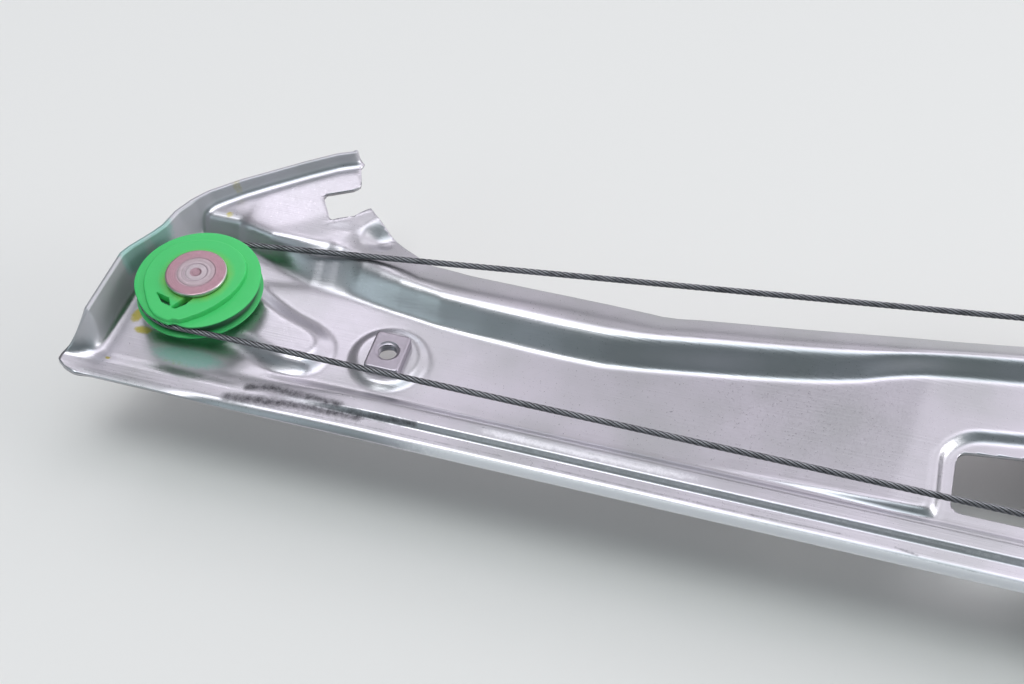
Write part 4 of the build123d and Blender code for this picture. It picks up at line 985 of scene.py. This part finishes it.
METALS = {
    "brushes": ("carbon_brush", "2A2A2B", "1F1F20", 0.6, (0.2, 1, 1), 0.3, 4, 0.3),
    "motor_can": ("drawn_can_zinc", "BDBBBE", "ABA9AE", 0.34, (0.06, 1, 1), 0.14, 1.4),
    "carrier_plate": ("plated_carrier_steel", "C3BFC6", "B2AEB6", 0.36, (0.15, 1, 1), 0.12, 1.2),
    "clamp_jaw": ("plated_jaw_steel", "C0BCC3", "ADA9B1", 0.38, (1, 0.15, 1), 0.12, 1.2),
    "carrier_rivets": ("set_rivet_steel", "B2AEB2", "9B979C", 0.4),
    "housing_screws": ("zinc_housing_screw", "C6C4C0", "B3B1AC", 0.34, (1, 1, 0.2)),
    "motor_screws": ("zinc_motor_screw", "C4C2BE", "B1AFAA", 0.34, (0.2, 1, 1)),
    "clamp_screw": ("yellow_zinc_clamp_screw", "C9B98A", "B5A276", 0.36, (1, 1, 0.2)),
    "clamp_nut": ("zinc_clamp_nut", "C1BFBC", "AEACA8", 0.38),
    "wheel_axle": ("ground_axle_steel", "B9B9BC", "A8A8AC", 0.22, (1, 1, 4), 0.08, 2),
    "armature_shaft": ("ground_shaft_steel", "BABABD", "A6A6AA", 0.2, (4, 1, 1), 0.08, 2),
    "axle_clip": ("phosphated_spring_clip", "4A4A4D", "3A3A3D", 0.45),
    "nipple_springs": ("spring_wire", "6F6F73", "5C5C60", 0.35, (0.3, 1, 1)),
    "cable_nipples": ("die_cast_zinc_nipple", "A3A4A8", "8F9095", 0.42),
    "shaft_bushes": ("sintered_bronze", "B08B57", "96733F", 0.5, (1, 1, 1), 0.35, 4),
    "connector_pins": ("tinned_brass_pin", "CDBB8A", "BCA873", 0.28, (1, 0.2, 1)),
    "armature_core": ("core_laminations", "77797D", "5C5E63", 0.42, (2.0, 0.02, 0.02), 0.5, 1.0),
    "armature_winding": ("enamelled_copper", "A8552B", "8A3F1C", 0.3, (0.2, 2, 2), 0.5, 1.6),
    "commutator": ("copper_bars", "B8734A", "9A5B38", 0.3, (3, 0.3, 0.3), 0.15, 1.4),
}
for recipe, table in ((moulded, MOULDINGS), (metal, METALS)):
    for nodes, finish in table.items():
        material = recipe(*finish)[0]
        for node in nodes.split():
            dress(bpy.data.objects[node], material)
dress(bpy.data.objects["drum_winding"], wire)
print("finishes", len(MOULDINGS) + len(METALS))

# %% [markdown]
# ## A plain studio
# The floor is matt paper at the level of the motor's cover, and two square lamps give soft shadows.

# %% Floor, lamps and world
floor_mesh = bpy.data.meshes.new("studio_floor")
floor_mesh.from_pydata([(-3, -3, FLOOR), (3, -3, FLOOR), (3, 3, FLOOR), (-3, 3, FLOOR)], [], [(0, 1, 2, 3)])
floor = bpy.data.objects.new("studio_floor", floor_mesh)
bpy.context.collection.objects.link(floor)
dress(floor, finish_material("studio_paper", "E9E7E4", 0.0, 0.9)[0])


def softbox(name, at, look_at, size, watts):
    """A square area lamp, placed and aimed in millimetres of the rail's frame."""
    lamp = bpy.data.lights.new(name, "AREA")
    lamp.shape, lamp.size, lamp.energy = "SQUARE", size, watts
    holder = bpy.data.objects.new(name, lamp)
    holder.location = place(at)
    x, y, z = place(look_at) - place(at)
    holder.rotation_euler = (math.atan2(math.hypot(x, y), -z), 0, math.atan2(y, x) - math.pi / 2)
    bpy.context.collection.objects.link(holder)


softbox("key", (-200, -150, 1500), (120, 0, 0), 0.6, 5)
softbox("side", (1300, 200, 500), (60, 0, 0), 0.6, 4)
print("floor at", FLOOR)

# %% [markdown]
# Metal shows its surroundings, so the sky is shaped as a photographer's room: a bright ceiling
# above, a mid-grey wall behind the rail that the flats mirror, paler on the right, and darkness on
# the camera's side. Each light is a smooth step along an axis or of the angle to a direction, and
# the sky's strength is their sum.

# %% Sky
world = bpy.data.worlds.new("studio_world")
bpy.context.scene.world = world
world.use_nodes = True
sky = world.node_tree
toward = add(sky, "TexCoord").outputs["Generated"]
axes = add(sky, "SeparateXYZ", [toward]).outputs
SOFT = {"interpolation_type": "SMOOTHSTEP"}
behind = add(sky, "MapRange", [axes["Y"], 0, 0.35, 0, 0.85], **SOFT)
LIGHTS = [((0.05, 0.10, 0.99), 0.855, 0.985, 0.0, 1.9),  # the ceiling
          ("Y", -0.5, 0.4, 0.23, 0.33),  # the wall behind the rail
          ("Y", 0.66, 0.84, 0.0, 0.47),  # its lower, lit part
          ((-0.34, 0.655, 0.675), 0.982, 0.999, 0.0, 3.0),  # a lit panel behind the arm
          ((-0.56, -0.64, 0.50), 0.93, 0.99, 0.0, 1.0),  # a paler patch at the front left
          ("X", 0.08, 0.13, 0.0, behind),  # a pale wall on the right, only behind
          ("X", 0.45, 0.75, 0.0, 0.25)]  # and its lit end
strength = 0.0
for where, low, high, dark, lit in LIGHTS:
    if isinstance(where, str):
        value = axes[where]
    else:
        unit = tuple((np.array(where) / np.linalg.norm(where)).tolist())
        value = add(sky, "VectorMath", [toward, unit], operation="DOT_PRODUCT").outputs["Value"]
    light = add(sky, "MapRange", [value, low, high, dark, lit], **SOFT)
    strength = add(sky, "Math", [strength, light], operation="ADD")
warmth = add(sky, "MapRange", [axes["Y"], -0.3, 0.4], **SOFT)
tint = add(sky, "Mix", {0: warmth, 6: srgb("D4E8EC"), 7: srgb("F1EEF5")}, data_type="RGBA").outputs[2]
fill(sky, sky.nodes["Background"], {"Color": tint, "Strength": strength})
bpy.context.scene.view_settings.view_transform = "Standard"
print("lights in the sky", len(LIGHTS))
